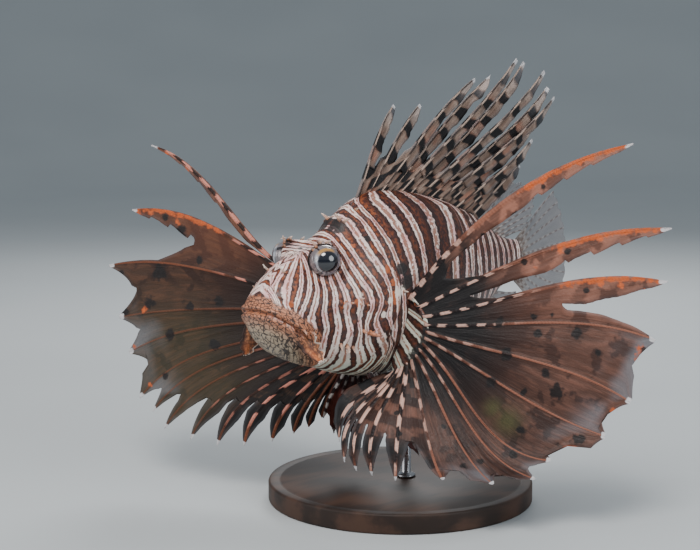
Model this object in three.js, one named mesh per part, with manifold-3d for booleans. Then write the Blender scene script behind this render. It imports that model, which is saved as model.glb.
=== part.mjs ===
// Red lionfish: a still, life-size model of the swimming animal on a plain display stand.
// Millimetres, +Z up. The fish faces -Y, its left side is +X, and the origin is the middle of
// the stand's underside. "Behind the snout" and "above the axis" are measured along the fish.
import * as THREE from "three";
import Module from "manifold-3d";
import { mergeVertices } from "three/addons/utils/BufferGeometryUtils.js";

const wasm = await Module();
wasm.setup();

// Driving dimensions.
const STANDARD_LENGTH = 240; // snout to the root of the tail fin
const SNOUT_Y = -115; // the snout's place in the model's frame
const AXIS_Z = 132; // height of the line from snout to tail
const GAP = 0.3; // between nodes that touch
const MEMBRANE = 0.28; // half the thickness of a fin's membrane
const SLIVER = 0.02; // faces narrower than this are closed up
const TAIL_BEND = 16; // how far the tail's root swings to the fish's right
const BEND_START = 120; // behind the snout, where that swing begins

// The body's outline: [distance behind the snout, value] pairs.
const BACK_LINE = [
  [0, -3], [3, 5], [8, 11.5], [15, 17], [26, 23], [38, 29], [50, 35], [64, 45],
  [80, 54], [100, 56], [130, 52], [160, 44], [190, 32], [215, 19], [240, 14],
];
const BELLY_LINE = [
  [0, -9], [3, -18], [8, -26], [16, -32], [30, -38], [50, -44], [75, -51],
  [105, -52], [140, -45], [170, -34], [200, -20], [220, -13], [240, -13],
];
const HALF_WIDTH = [
  [0, 0], [1.5, 10], [5, 15.5], [12, 20], [22, 22], [38, 22.5], [52, 25], [68, 28],
  [86, 29], [110, 28], [140, 23.5], [170, 17], [200, 10.5], [222, 6.5], [240, 4.5],
];
const WIDEST_LEVEL = [[0, -7], [12, -10], [30, -9], [55, -8], [80, -4], [120, 0], [240, 0]];
const RINGS = 31;
const RING_POINTS = 28;
const RING_CROWDING = 1.7; // rings lie closer together towards the snout
const ROOF_SHAPE = 1.2; // above 1, the back narrows to a ridge

// The head.
const EYE = { side: 15, behind: 38.5, up: 21.5, radius: 9.1, facets: 12 };
const EYE_AXIS = new THREE.Vector3(0.8, -0.58, 0.12).normalize(); // the left eye looks this way
const SOCKET_RIM = 1.5;
const MOUTH_LINE = [[-8, 0.5], [0, -4.5], [13, -14], [26, -25], [39, -36], [43, -48], [43, -70]];
const GILL_LINE = [
  [60, 80], [64, 46], [66, 34], [73, 24], [81, 13], [85, 2], [83, -12], [76, -26],
  [66, -40], [58, -50], [56, -70],
];
const CHEEK_LINE = [[56, 13], [57, 2], [55, -12], [49, -26], [43, -36]];
const GILL_COVER_DEPTH = 4.5;
// Short spines and flaps over the eye and on the crown: side, behind, above, height.
const HEAD_SPINES = [[11.5, 30, 29, 4], [11, 36, 32.5, 3.5], [10.5, 44, 34, 4.5], [7, 60, 40, 5], [6, 71, 46, 3]];
const NOSTRIL = { side: 8.5, behind: 17, radius: 1.2 };

// Spiny dorsal fin, first spine to last.
const SPINES = 13;
const SPINE_FIRST = 76; // behind the snout
const SPINE_LAST = 178;
const SPINE_LENGTHS = [61, 69, 102, 113, 127, 135, 131, 133, 121, 102, 80, 65, 53];
const SPINE_LEANS = [28, 42, 50, 54, 52, 55, 56, 61, 60, 60, 61, 60, 56]; // behind upright
const SPINE_SPLAYS = [1.5, -2, 2.5, -1.5, 2, -2.5, 2.5, -2, 2, -2, 1.5, -1, 1];
const SPINE_BOWS = [4, 3, 3, 2, -2, -3, -3, -3, -3, -3, -3, -2, -1]; // percent of the length
const SPINE_RADIUS = 1.2;

// Pectoral fins: length, rise above level and sweep behind straight sideways of each ray,
// top ray first, and the share of its length up to which the web reaches the next ray.
const PECTORAL = {
  left: {
    length: [155, 151, 140, 130, 122, 116, 99, 101, 91, 79, 72, 68, 66, 63, 54],
    rise: [36, 19, 10, -1.5, -16, -25, -37, -40, -45, -49, -59, -61, -59, -54, -46],
    sweep: [37, 36, 35, 33, 29, 26, 18, 10, -4, -26, -56, -78, -92, -100, -106],
    bow: [0.06, 0.05, 0.05, 0.05, 0.04, -0.03, -0.12, -0.1, -0.07, -0.08, 0.1, 0.17, 0.18, 0.17, 0.17],
    web: [0.16, 0.22, 0.6, 0.95, 0.95, 0.95, 0.93, 0.93, 0.9, 0.7, 0.66, 0.62, 0.6, 0.6],
    sag: [0.05, 0.02],
    vane: [8.5, 11, 14],
  },
  right: {
    length: [160, 149, 150, 138, 132, 131, 124, 121, 109, 97, 84, 70, 58, 50, 42],
    rise: [31, 18, 6, -5, -13, -24, -27, -31, -36, -41, -46, -52, -57, -61, -64],
    sweep: [-18, -22, -27, -30, -32, -35, -38, -40, -43, -45, -46, -45, -40, -30, -15],
    bow: [0.05, 0.07, 0.05, 0.02, 0.05, 0.08, 0.08, 0.08, 0.09, 0.1, 0.11, 0.08, 0.06, 0.05, 0.04],
    web: [0.2, 0.66, 0.9, 0.92, 0.92, 0.9, 0.84, 0.76, 0.7, 0.68, 0.66, 0.64, 0.62, 0.6],
    sag: [-0.1, -0.01],
    vane: [3.5, 14, 9],
  },
};
const PECTORAL_PARTS = { top_ray: [0, 0], upper: [1, 2], fan: [3, 8], lower: [9, 14] };
const PECTORAL_ROOT = { side: 30, reach: 15, tuck: 10, behind: 93, top: -4, height: 44 };

// Soft fins: where their first and last rays root, how long the rays are and how they lean.
const SOFT_DORSAL = { rays: 9, from: 190, to: 212, lengths: [44, 54, 54, 44, 28], leans: [60, 84] };
const ANAL = { rays: 8, from: 168, to: 202, lengths: [18, 40, 54, 52, 30], leans: [42, 84] };
const CAUDAL = { rays: 11, spread: 64, lengths: [64, 72, 75, 72, 64] };
const PELVIC = { rays: 6, side: 9, behind: 80, lengths: [46, 60, 62, 57, 48, 38], spread: { left: 0.24, right: 0.58 } };

// Flaps of skin beside the mouth: root and tip, as [sideways, behind, above].
const LIP_FLAPS = {
  left: { root: [20, 13, -14], tip: [25, 27, -34], width: 8.5 },
  right: { root: [-20, 11, -13], tip: [-27, 16, -35], width: 10 },
};

// The stand.
const BASE = { radius: 80, height: 12, bevel: 1.5 };
const ROD = { radius: 3, behind: 120 };

// The smooth curve through [place, value] pairs, read at x.
function smooth(pairs, x) {
  const last = pairs.length - 1;
  if (x <= pairs[0][0]) return pairs[0][1];
  if (x >= pairs[last][0]) return pairs[last][1];
  let i = 0;
  while (x > pairs[i + 1][0]) i++;
  const slope = (k) => {
    const a = pairs[Math.max(0, k - 1)];
    const b = pairs[Math.min(last, k + 1)];
    return (b[1] - a[1]) / (b[0] - a[0]);
  };
  const width = pairs[i + 1][0] - pairs[i][0];
  const t = (x - pairs[i][0]) / width;
  const a = pairs[i][1];
  const b = pairs[i + 1][1];
  return (
    a * (2 * t ** 3 - 3 * t ** 2 + 1) +
    b * (3 * t ** 2 - 2 * t ** 3) +
    width * (slope(i) * (t ** 3 - 2 * t ** 2 + t) + slope(i + 1) * (t ** 3 - t ** 2))
  );
}

// A value spread evenly over a short list, read at share 0 to 1.
function along(values, share) {
  return smooth(values.map((v, i) => [i / (values.length - 1), v]), share);
}

// The sideways swing of the fish's midline at a distance behind the snout.
function swing(behind) {
  const t = Math.max(0, behind - BEND_START) / (STANDARD_LENGTH - BEND_START);
  return -TAIL_BEND * t * t;
}

// A point given along the fish, in the model's frame.
function place(side, behind, up) {
  return new THREE.Vector3(side + swing(behind), behind + SNOUT_Y, up + AXIS_Z);
}

// How much a soft bump adds at a distance from its middle.
function bump(distance, radius) {
  return Math.exp(-((distance / radius) ** 2));
}

// The raised and sunk forms of the head, as a height over the plain outline.
function relief(side, behind, up) {
  const s = Math.abs(side);
  const away = (s0, b0, u0) => Math.hypot(s - s0, behind - b0, up - u0);
  let h = 0;
  h += 2.6 * bump(away(EYE.side - 1, EYE.behind, EYE.up), 11); // orbit
  h += 2.4 * bump(away(11, 33, 30), 5) + 2.2 * bump(away(10.5, 43, 33), 5); // brow
  h -= 2.6 * bump(Math.hypot(s, up - 31), 6) * bump(behind - 39, 11); // between the eyes
  h += 1.4 * bump(away(6, 20, 21), 4); // above the nostrils
  h += 1.5 * bump(away(7, 60, 40), 4.5); // behind the crown
  h += 1.6 * bump(up + 1 + (behind - 30) * 0.12, 3.2) * bump(behind - 50, 17) * (s > 8 ? 1 : 0);
  return h;
}

// A point on the body's skin. turn is 0 at the fish's left side and a quarter at its back.
function skin(behind, turn) {
  const angle = turn * Math.PI * 2;
  const c = Math.cos(angle);
  const s = Math.sin(angle);
  const level = smooth(WIDEST_LEVEL, behind);
  const edge = s > 0 ? smooth(BACK_LINE, behind) : smooth(BELLY_LINE, behind);
  const shape = s > 0 ? ROOF_SHAPE : 1;
  const side = smooth(HALF_WIDTH, behind) * Math.sign(c) * Math.abs(c) ** shape;
  const up = level + (edge - level) * Math.abs(s);
  const out = new THREE.Vector3(side, 0, up - level).normalize();
  const h = relief(side, behind, up);
  return place(side + out.x * h, behind, up + out.z * h);
}

// A closed solid from vertices and faces, turned right side out.
function solid(points, faces) {
  const vertProperties = new Float32Array(points.flatMap((p) => [p.x, p.y, p.z]));
  const make = (list) =>
    new wasm.Manifold(new wasm.Mesh({ numProp: 3, vertProperties, triVerts: new Uint32Array(list.flat()) }));
  const made = make(faces);
  return made.volume() < 0 ? make(faces.map(([a, b, c]) => [a, c, b])) : made;
}

// A closed three.js geometry as a solid.
function fromGeometry(geometry) {
  const plain = geometry.index ? geometry.toNonIndexed() : geometry;
  plain.deleteAttribute("normal");
  plain.deleteAttribute("uv");
  const merged = mergeVertices(plain, 1e-4);
  const p = merged.attributes.position;
  const points = Array.from({ length: p.count }, (_, i) => new THREE.Vector3().fromBufferAttribute(p, i));
  const index = merged.index.array;
  const faces = [];
  for (let i = 0; i < index.length; i += 3) faces.push([index[i], index[i + 1], index[i + 2]]);
  return solid(points, faces);
}

// The largest closed surface of a solid, without its slivers.
function largest(made) {
  return made.decompose().sort((a, b) => b.volume() - a.volume())[0].simplify(SLIVER);
}

// The whole body, grown outwards by a distance.
function body(grown) {
  const points = [place(0, 0, (BACK_LINE[0][1] + BELLY_LINE[0][1]) / 2)];
  const faces = [];
  const id = (ring, k) => 1 + ring * RING_POINTS + (k % RING_POINTS);
  for (let ring = 0; ring < RINGS; ring++) {
    const behind = STANDARD_LENGTH * ((ring + 1) / RINGS) ** RING_CROWDING;
    for (let k = 0; k < RING_POINTS; k++) points.push(skin(behind, k / RING_POINTS));
  }
  const tail = points.push(place(0, STANDARD_LENGTH, 0)) - 1;
  for (let k = 0; k < RING_POINTS; k++) {
    faces.push([0, id(0, k + 1), id(0, k)]);
    for (let ring = 0; ring < RINGS - 1; ring++) {
      faces.push([id(ring, k), id(ring, k + 1), id(ring + 1, k)]);
      faces.push([id(ring, k + 1), id(ring + 1, k + 1), id(ring + 1, k)]);
    }
    faces.push([id(RINGS - 1, k), id(RINGS - 1, k + 1), tail]);
  }
  const normals = points.map(() => new THREE.Vector3());
  for (const [a, b, c] of faces) {
    const n = points[b].clone().sub(points[a]).cross(points[c].clone().sub(points[a]));
    for (const v of [a, b, c]) normals[v].add(n);
  }
  const centre = place(0, STANDARD_LENGTH / 3, 0);
  const turn = normals[1].dot(points[1].clone().sub(centre)) < 0 ? -1 : 1;
  return solid(points.map((p, i) => p.clone().addScaledVector(normals[i].normalize(), turn * grown)), faces);
}

// A block across the whole fish, whose side outline is a list of [behind, above] points.
function acrossFish(outline) {
  const shape = new THREE.Shape(outline.map(([b, u]) => new THREE.Vector2(b + SNOUT_Y, u + AXIS_Z)));
  const width = 160;
  const geometry = new THREE.ExtrudeGeometry(shape, { depth: width, bevelEnabled: false });
  // The outline's own x and y become the model's y and z.
  geometry.applyMatrix4(new THREE.Matrix4().makeBasis(
    new THREE.Vector3(0, 1, 0), new THREE.Vector3(0, 0, 1), new THREE.Vector3(1, 0, 0)));
  geometry.translate(-width / 2, 0, 0);
  return fromGeometry(geometry);
}

// A closed tube of a few sides through a list of points, with a radius at each.
function tube(points, radii, sides) {
  const rings = [];
  const faces = [];
  points.forEach((p, i) => {
    const heading = points[Math.min(points.length - 1, i + 1)].clone()
      .sub(points[Math.max(0, i - 1)]).normalize();
    const across = new THREE.Vector3(0.3, 0.2, 1).cross(heading).normalize();
    const over = heading.clone().cross(across);
    for (let k = 0; k < sides; k++) {
      const a = (k / sides) * Math.PI * 2;
      rings.push(p.clone().addScaledVector(across, radii[i] * Math.cos(a))
        .addScaledVector(over, radii[i] * Math.sin(a)));
    }
  });
  const id = (i, k) => i * sides + (k % sides);
  const last = points.length - 1;
  for (let k = 0; k < sides; k++) {
    for (let i = 0; i < last; i++) {
      faces.push([id(i, k), id(i, k + 1), id(i + 1, k)], [id(i, k + 1), id(i + 1, k + 1), id(i + 1, k)]);
    }
    if (k > 1) faces.push([id(0, 0), id(0, k), id(0, k - 1)], [id(last, 0), id(last, k - 1), id(last, k)]);
  }
  return solid(rings, faces);
}

// A point of the body's plain outline at a height, on the left or right side.
function flank(behind, up, side) {
  const level = smooth(WIDEST_LEVEL, behind);
  const edge = up > level ? smooth(BACK_LINE, behind) : smooth(BELLY_LINE, behind);
  const share = Math.min(1, Math.abs((up - level) / (edge - level)));
  const out = smooth(HALF_WIDTH, behind) * Math.sqrt(1 - share * share) ** (up > level ? ROOF_SHAPE : 1);
  return place(side * out, behind, up);
}

// Both lips, as tubes along the mouth line, grown outwards by a distance.
function lips(grown) {
  const made = [];
  for (const raise of [2, -2]) {
    const half = [0.15, 1, 3.5, 8, 14, 21, 28, 35];
    const side = (way) => half.map((b) => flank(b, smooth(MOUTH_LINE, b) + raise, way));
    const points = [...side(-1).reverse(), ...side(1)];
    const radii = points.map((_, i) => 1 + 0.8 * Math.sin((Math.PI * (i + 0.5)) / points.length) + grown);
    made.push(tube(points, radii, 5));
  }
  return made;
}

function ball(centre, radius, sides) {
  return fromGeometry(new THREE.SphereGeometry(radius, sides, Math.round(sides * 0.7)))
    .translate(centre.toArray());
}

function mirrored(vector, side) {
  return new THREE.Vector3(vector.x * side, vector.y, vector.z);
}

// A sheet given its thickness: nodes hold a point, a normal and half the thickness there,
// and quads name four nodes. Both faces are split alike.
function thicken(nodes, quads) {
  const count = nodes.length;
  const points = [1, -1].flatMap((way) =>
    nodes.map((n) => n.point.clone().addScaledVector(n.normal, way * n.half)));
  const faces = [];
  const edges = new Map();
  for (const [a, b, c, d] of quads) {
    for (const [p, q, r] of [[a, b, c], [a, c, d]]) {
      faces.push([p, q, r], [p + count, r + count, q + count]);
      for (const [u, v] of [[p, q], [q, r], [r, p]]) edges.set(u + "_" + v, [u, v]);
    }
  }
  for (const [u, v] of edges.values()) {
    if (edges.has(v + "_" + u)) continue;
    faces.push([v, u, u + count], [v, u + count, v + count]);
  }
  return solid(points, faces);
}

const RAY_COLUMNS = 5; // edge, flank, crest, flank, edge

// A fin made as one sheet: each ray is a ridge with a vane on both sides, and neighbours share
// a web up to a share of their length. rays: root, direction, length, bow and radius.
function fin({ rays, rows, web, vane, whole = rays, first = 0 }) {
  const centre = (i, v) => {
    const r = { sag: new THREE.Vector3(), ...whole[i] };
    return r.root.clone()
      .addScaledVector(r.direction, r.length * v)
      .addScaledVector(r.bow, r.length * 6.75 * v * v * (1 - v))
      .addScaledVector(r.sag, r.length * 6.75 * v * (1 - v) ** 2);
  };
  const frameAt = (i, v) => {
    const low = Math.max(0, i - 1);
    const high = Math.min(whole.length - 1, i + 1);
    const across = centre(high, v).sub(centre(low, v)).normalize();
    const alongRay = centre(i, Math.min(1, v + 0.02)).sub(centre(i, Math.max(0, v - 0.02))).normalize();
    const normal = across.cross(alongRay).normalize();
    return { normal, heading: alongRay, across: alongRay.clone().cross(normal).normalize() };
  };
  const nodes = [];
  const quads = [];
  const ids = new Map();
  const key = (i, column, row) => {
    const shared = column === RAY_COLUMNS - 1 && i < first + rays.length - 1 && row <= webRow(i);
    return shared ? `${i + 1}_0_${row}` : `${i}_${column}_${row}`;
  };
  const share = (row) => 1 - (1 - row / rows) ** 1.4; // rows lie closer together at the tips
  const webRow = (i) => {
    if (web[i] === 0) return -1;
    let row = 1;
    while (row < rows - 1 && share(row + 1) <= web[i] + 0.02) row++;
    return row;
  };
  const node = (i, column, row) => {
    const k = key(i, column, row);
    if (ids.has(k)) return ids.get(k);
    const v = share(row);
    const { normal, heading, across } = frameAt(i, v);
    const c = centre(i, v);
    const taper = 1 - 0.8 * v ** 1.5;
    const radius = whole[i].radius * taper;
    const way = column < 2 ? -1 : 1;
    const j = i + way;
    const beside = j >= 0 && j < whole.length;
    // Towards the neighbour, square to the ray.
    const toward = beside ? centre(j, v).sub(c) : across.clone().multiplyScalar(way);
    const apart = toward.length();
    toward.addScaledVector(heading, -toward.dot(heading));
    const spacing = beside ? toward.length() : 1e3;
    toward.normalize();
    const flank = Math.min(radius * 1.25, spacing * 0.3);
    let point = c;
    let half = radius;
    if (column === 1 || column === 3) {
      point = c.addScaledVector(across, way * flank);
      half = MEMBRANE * (0.45 + 0.55 * taper);
    } else if (column !== 2) {
      const pair = Math.min(i, j);
      const joined = beside && row <= webRow(pair);
      half = MEMBRANE * (0.45 + 0.55 * taper);
      if (joined) {
        const inside = j >= first && j < first + rays.length;
        normal.add(frameAt(j, v).normal).normalize();
        point = c.lerp(centre(j, v), inside ? 0.5 : 0.5 - (0.75 * GAP) / apart);
      } else {
        const mine = vane(i, way, v);
        const other = beside ? Math.max(flank, vane(j, -way, v)) : 0;
        const most = ((spacing - 0.5) * mine) / (mine + other + 0.01);
        const width = Math.max(flank + 0.2 * taper + 0.12, Math.min(mine, most));
        point = c.addScaledVector(toward, width);
      }
    }
    ids.set(k, nodes.push({ point, normal, half }) - 1);
    return nodes.length - 1;
  };
  rays.forEach((_, n) => {
    const i = first + n;
    for (let row = 0; row < rows; row++) {
      for (let column = 0; column < RAY_COLUMNS - 1; column++) {
        quads.push([
          node(i, column, row), node(i, column + 1, row),
          node(i, column + 1, row + 1), node(i, column, row + 1),
        ]);
      }
    }
  });
  return thicken(nodes, quads);
}

// The direction of a ray from its rise above level and its sweep behind straight sideways.
function rayDirection(rise, sweep, side) {
  const r = THREE.MathUtils.degToRad(rise);
  const s = THREE.MathUtils.degToRad(sweep);
  return new THREE.Vector3(side * Math.cos(r) * Math.cos(s), Math.cos(r) * Math.sin(s), Math.sin(r));
}

// Head, jaw, gill covers, torso and tail root, parted from the whole body by thin cuts.
function bodyNodes(whole) {
  const front = (line, extra) => [...line.map(([b, u]) => [b + extra, u]), [-40, -90], [-40, 90]];
  const head = whole.intersect(acrossFish(front(GILL_LINE, 0)));
  const rest = whole.subtract(acrossFish(front(GILL_LINE, GAP)));
  const span = (from, to) => acrossFish([[from, -90], [to, -90], [to, 90], [from, 90]]);
  const TORSO_CUT = 138;
  const TAIL_CUT = 206;
  const below = (raise) => [
    ...MOUTH_LINE.map(([b, u]) => [b + raise * 0.6, u + raise]), [-40, -80], [-40, MOUTH_LINE[0][1] + raise]];
  const jaw = largest(head.intersect(acrossFish(below(0))));
  let skull = head.subtract(acrossFish(below(GAP)));
  const core = body(-GILL_COVER_DEPTH);
  const deeper = body(-GILL_COVER_DEPTH - 1.6 * GAP);
  const [middleB, middleU] = [70, -12];
  const coverOutline = (grow) => [...CHEEK_LINE, [50, -38], [90, -38], [100, 14]].map(([b, u]) => {
    const stretch = 1 + (1.5 * grow) / Math.hypot(b - middleB, u - middleU);
    return [middleB + (b - middleB) * stretch, middleU + (u - middleU) * stretch];
  });
  const nodes = {};
  const coverBlock = acrossFish(coverOutline(0));
  const half = (side) => acrossFish([[-40, -90], [300, -90], [300, 90], [-40, 90]])
    .translate([side * 80, 0, 0]);
  for (const [name, side] of [["left", 1], ["right", -1]]) {
    nodes["gill_cover_" + name] = largest(
      skull.intersect(coverBlock).subtract(core).intersect(half(side)));
  }
  skull = largest(skull.subtract(acrossFish(coverOutline(GAP)).subtract(deeper)));
  for (const side of [1, -1]) {
    const eye = place(EYE.side * side, EYE.behind, EYE.up);
    const axis = mirrored(EYE_AXIS, side);
    const rim = ball(eye, EYE.radius + SOCKET_RIM, EYE.facets);
    skull = skull.add(rim.trimByPlane(axis.clone().negate().toArray(), -axis.dot(eye) - 2.2));
    for (const [s, b, u, tall] of HEAD_SPINES) {
      const cone = new THREE.ConeGeometry(1.3, tall * 2, 5);
      cone.applyQuaternion(new THREE.Quaternion().setFromUnitVectors(
        new THREE.Vector3(0, 1, 0), new THREE.Vector3(side * 0.35, 0.25, 0.9).normalize()));
      cone.translate(...place(side * s, b, u).toArray());
      skull = skull.add(fromGeometry(cone));
    }
  }
  for (const side of [1, -1]) {
    const eye = place(EYE.side * side, EYE.behind, EYE.up);
    skull = skull.subtract(ball(eye, EYE.radius + GAP, EYE.facets));
    const nostrilUp = smooth(BACK_LINE, NOSTRIL.behind) - 1.2;
    skull = skull.subtract(ball(place(side * NOSTRIL.side, NOSTRIL.behind, nostrilUp), NOSTRIL.radius, 8));
  }
  return {
    head: largest(skull),
    lower_jaw: jaw,
    ...nodes,
    torso_front: largest(rest.intersect(span(0, TORSO_CUT))),
    torso_rear: largest(rest.intersect(span(TORSO_CUT + GAP, TAIL_CUT))),
    tail_root: largest(rest.intersect(span(TAIL_CUT + GAP, STANDARD_LENGTH + 5))),
  };
}

function eyeNodes() {
  const nodes = {};
  for (const [name, side] of [["left", 1], ["right", -1]]) {
    nodes["eye_" + name] = ball(place(EYE.side * side, EYE.behind, EYE.up), EYE.radius, EYE.facets);
  }
  return nodes;
}

// Where a pectoral ray roots on its fleshy lobe. share is 0 at the top ray and 1 at the last.
function pectoralRoot(share, side, inward = 0) {
  const { side: flank, reach, tuck, behind, top, height } = PECTORAL_ROOT;
  const down = 1 - (1 - share) ** 1.6;
  const out = flank - tuck * down ** 3 + reach * Math.sin(Math.PI * down ** 0.9);
  const up = top - height * down;
  const toAxis = inward / Math.hypot(out, up);
  return place(side * out * (1 - toAxis), behind - 4 * down ** 3, up * (1 - toAxis));
}

// The fleshy lobe that carries a pectoral fin, grown outwards by a distance.
function pectoralLobe(side, grown) {
  const columns = 12;
  const rows = 3;
  const nodes = [];
  const quads = [];
  for (let c = 0; c <= columns; c++) {
    const share = c / columns;
    const round = Math.sqrt(Math.max(0.1, 1 - (2 * share - 1) ** 4));
    for (let r = 0; r <= rows; r++) {
      const depth = 1 - r / rows;
      const point = pectoralRoot(share, side, depth * 24 - grown);
      point.z += (0.5 - share) * (3 + 2 * grown);
      point.y += depth * 4;
      nodes.push({ point, normal: new THREE.Vector3(0, 1, 0), half: (1.5 + 3.4 * depth) * round + grown });
    }
  }
  for (let c = 0; c < columns; c++) {
    for (let r = 0; r < rows; r++) {
      const a = c * (rows + 1) + r;
      quads.push([a, a + 1, a + rows + 2, a + rows + 1]);
    }
  }
  return thicken(nodes, quads);
}

function pectoralNodes(around) {
  const nodes = {};
  for (const [name, side] of [["left", 1], ["right", -1]]) {
    const data = PECTORAL[name];
    const count = data.length.length;
    const rays = data.length.map((length, i) => {
      const direction = rayDirection(data.rise[i], data.sweep[i], side);
      const root = pectoralRoot(i / (count - 1), side).addScaledVector(direction, -2);
      const over = rayDirection(data.rise[i] + 90, data.sweep[i], side);
      const bow = over.clone().multiplyScalar(data.bow[i]);
      const sag = over.multiplyScalar(data.sag[i] ?? 0);
      return { root, direction, length, bow, sag, radius: 1.05 };
    });
    const vane = (i, way, v) => {
      const upper = i < 3;
      const widest = upper ? (way > 0 ? data.vane[i] : 1.5) : 9;
      return (widest * Math.min(1, 0.25 + 1.3 * v) + 0.3) * (1 - v ** (upper ? 6 : 4)) + 0.2;
    };
    const lobe = pectoralLobe(side, 1.3 * GAP);
    for (const [part, [first, last]] of Object.entries(PECTORAL_PARTS)) {
      const made = fin({ rays: rays.slice(first, last + 1), whole: rays, first, rows: 6, web: data.web, vane });
      nodes[`pectoral_${part}_${name}`] = largest(made.subtract(around).subtract(lobe));
    }
    nodes["pectoral_base_" + name] = largest(pectoralLobe(side, 0).subtract(around));
  }
  return nodes;
}

function spinyDorsal(around) {
  const rays = SPINE_LENGTHS.map((length, i) => {
    const behind = SPINE_FIRST + ((SPINE_LAST - SPINE_FIRST) * i) / (SPINES - 1);
    const lean = THREE.MathUtils.degToRad(SPINE_LEANS[i]);
    const splay = THREE.MathUtils.degToRad(SPINE_SPLAYS[i]);
    const direction = new THREE.Vector3(Math.sin(splay), Math.sin(lean), Math.cos(lean)).normalize();
    const root = place(0, behind, smooth(BACK_LINE, behind) - 4);
    const bow = new THREE.Vector3(0, -Math.cos(lean), Math.sin(lean)).multiplyScalar(SPINE_BOWS[i] / 100);
    return { root, direction, length: length + 4, bow, radius: SPINE_RADIUS };
  });
  // Each spine is a solid of its own with a vane behind it, and one sheet joins them at the root.
  const web = rays.map(() => 0);
  const vane = (i, way, v) => (way < 0 || v < 0.1 ? 0 : 6.5 * Math.min(1, 5 * (1.06 - v)));
  const spines = rays.map((r, i) => fin({ rays: [r], whole: rays, first: i, rows: 5, web, vane }));
  const nodes = rays.flatMap((r) => [0, 0.5, 1].map((share) => {
    const point = r.root.clone().addScaledVector(r.direction, 22 * share);
    return { point, normal: new THREE.Vector3(1, 0, 0), half: 1.4 * MEMBRANE };
  }));
  const quads = [];
  for (let i = 0; i < SPINES - 1; i++) {
    for (const k of [0, 1]) quads.push([3 * i + k, 3 * i + k + 3, 3 * i + k + 4, 3 * i + k + 1]);
  }
  const joined = spines.reduce((whole, spine) => whole.add(spine), thicken(nodes, quads));
  return largest(joined.subtract(around));
}

// A soft fin on the back or belly: up is 1 on the back and -1 below.
function medianFin(data, outline, up, around) {
  const rays = Array.from({ length: data.rays }, (_, i) => {
    const share = i / (data.rays - 1);
    const behind = data.from + (data.to - data.from) * share;
    const lean = THREE.MathUtils.degToRad(data.leans[0] + (data.leans[1] - data.leans[0]) * share);
    const direction = new THREE.Vector3(-0.12, Math.sin(lean), up * Math.cos(lean)).normalize();
    const root = place(0, behind, smooth(outline, behind) - up * 3);
    const bow = new THREE.Vector3(0, 0, 0.02 * up);
    return { root, direction, length: along(data.lengths, share) + 3, bow, radius: 0.75 };
  });
  const vane = (i, way, v) => 2.2 * (1 - v);
  return largest(fin({ rays, rows: 4, web: rays.map(() => 0.9), vane }).subtract(around));
}

function caudalFin(around) {
  const rays = Array.from({ length: CAUDAL.rays }, (_, i) => {
    const share = i / (CAUDAL.rays - 1);
    const angle = THREE.MathUtils.degToRad((0.5 - share) * CAUDAL.spread);
    const heading = new THREE.Vector3(-0.22, 1, -0.08).normalize();
    const direction = heading.multiplyScalar(Math.cos(angle)).add(new THREE.Vector3(0, 0, Math.sin(angle)));
    const root = place(0, STANDARD_LENGTH, 13 - 25.4 * share).addScaledVector(direction, -2);
    const bow = new THREE.Vector3(-0.02, 0, 0);
    return { root, direction, length: along(CAUDAL.lengths, share), bow, radius: 0.85 };
  });
  const vane = (i, way, v) => 2.5 * (1 - v);
  const made = fin({ rays, rows: 4, web: rays.map(() => 0.9), vane }).subtract(around);
  return largest(made).trimByPlane([0, 1, 0], STANDARD_LENGTH + SNOUT_Y + GAP);
}

function pelvicNodes(around) {
  const nodes = {};
  for (const [name, side] of [["left", 1], ["right", -1]]) {
    const rays = PELVIC.lengths.map((length, i) => {
      const share = i / (PELVIC.rays - 1);
      const direction = new THREE.Vector3(
        side * PELVIC.spread[name] * (1 - 0.6 * share), 0.1 + 0.75 * share, -0.82).normalize();
      const behind = PELVIC.behind + 9 * share;
      const root = place(side * (PELVIC.side - 2 * share), behind, smooth(BELLY_LINE, behind) + 5);
      const bow = new THREE.Vector3(side * 0.03, -0.02, 0);
      return { root, direction, length, bow, radius: 0.95 };
    });
    const vane = (i, way, v) => 3.5 * (1 - v);
    nodes["pelvic_fin_" + name] = largest(
      fin({ rays, rows: 3, web: rays.map(() => 0.86), vane }).subtract(around));
  }
  return nodes;
}

// A leaf of skin with a notched edge, hanging from its root.
function lipFlapNodes(around) {
  const nodes = {};
  for (const [name, { root, tip, width: widest }] of Object.entries(LIP_FLAPS)) {
    const side = name === "left" ? 1 : -1;
    const from = place(...root);
    const to = place(...tip);
    from.x -= side * 2.5;
    const run = to.clone().sub(from);
    const across = new THREE.Vector3(side * 0.25, 1, 0.35).normalize();
    const normal = across.clone().cross(run.clone().normalize()).normalize();
    const sheet = [];
    const quads = [];
    const rows = 6;
    const columns = 3;
    for (let r = 0; r <= rows; r++) {
      const v = r / rows;
      const notch = 1 + 0.22 * Math.cos(r * Math.PI);
      const width = (2 + widest * Math.sin(Math.PI * Math.min(0.92, v * 0.9 + 0.06))) * notch;
      for (let c = 0; c <= columns; c++) {
        const u = c / columns;
        const point = from.clone().addScaledVector(run, v).addScaledVector(across, (u - 0.35) * width);
        point.addScaledVector(normal, side * 1.6 * Math.sin(Math.PI * v));
        sheet.push({ point, normal, half: 0.4 + (c === 1 ? 0.5 * (1 - v) : 0) });
      }
    }
    for (let r = 0; r < rows; r++) {
      for (let c = 0; c < columns; c++) {
        const a = r * (columns + 1) + c;
        quads.push([a, a + 1, a + columns + 2, a + columns + 1]);
      }
    }
    nodes["lip_flap_" + name] = largest(thicken(sheet, quads).subtract(around));
  }
  return nodes;
}

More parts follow.
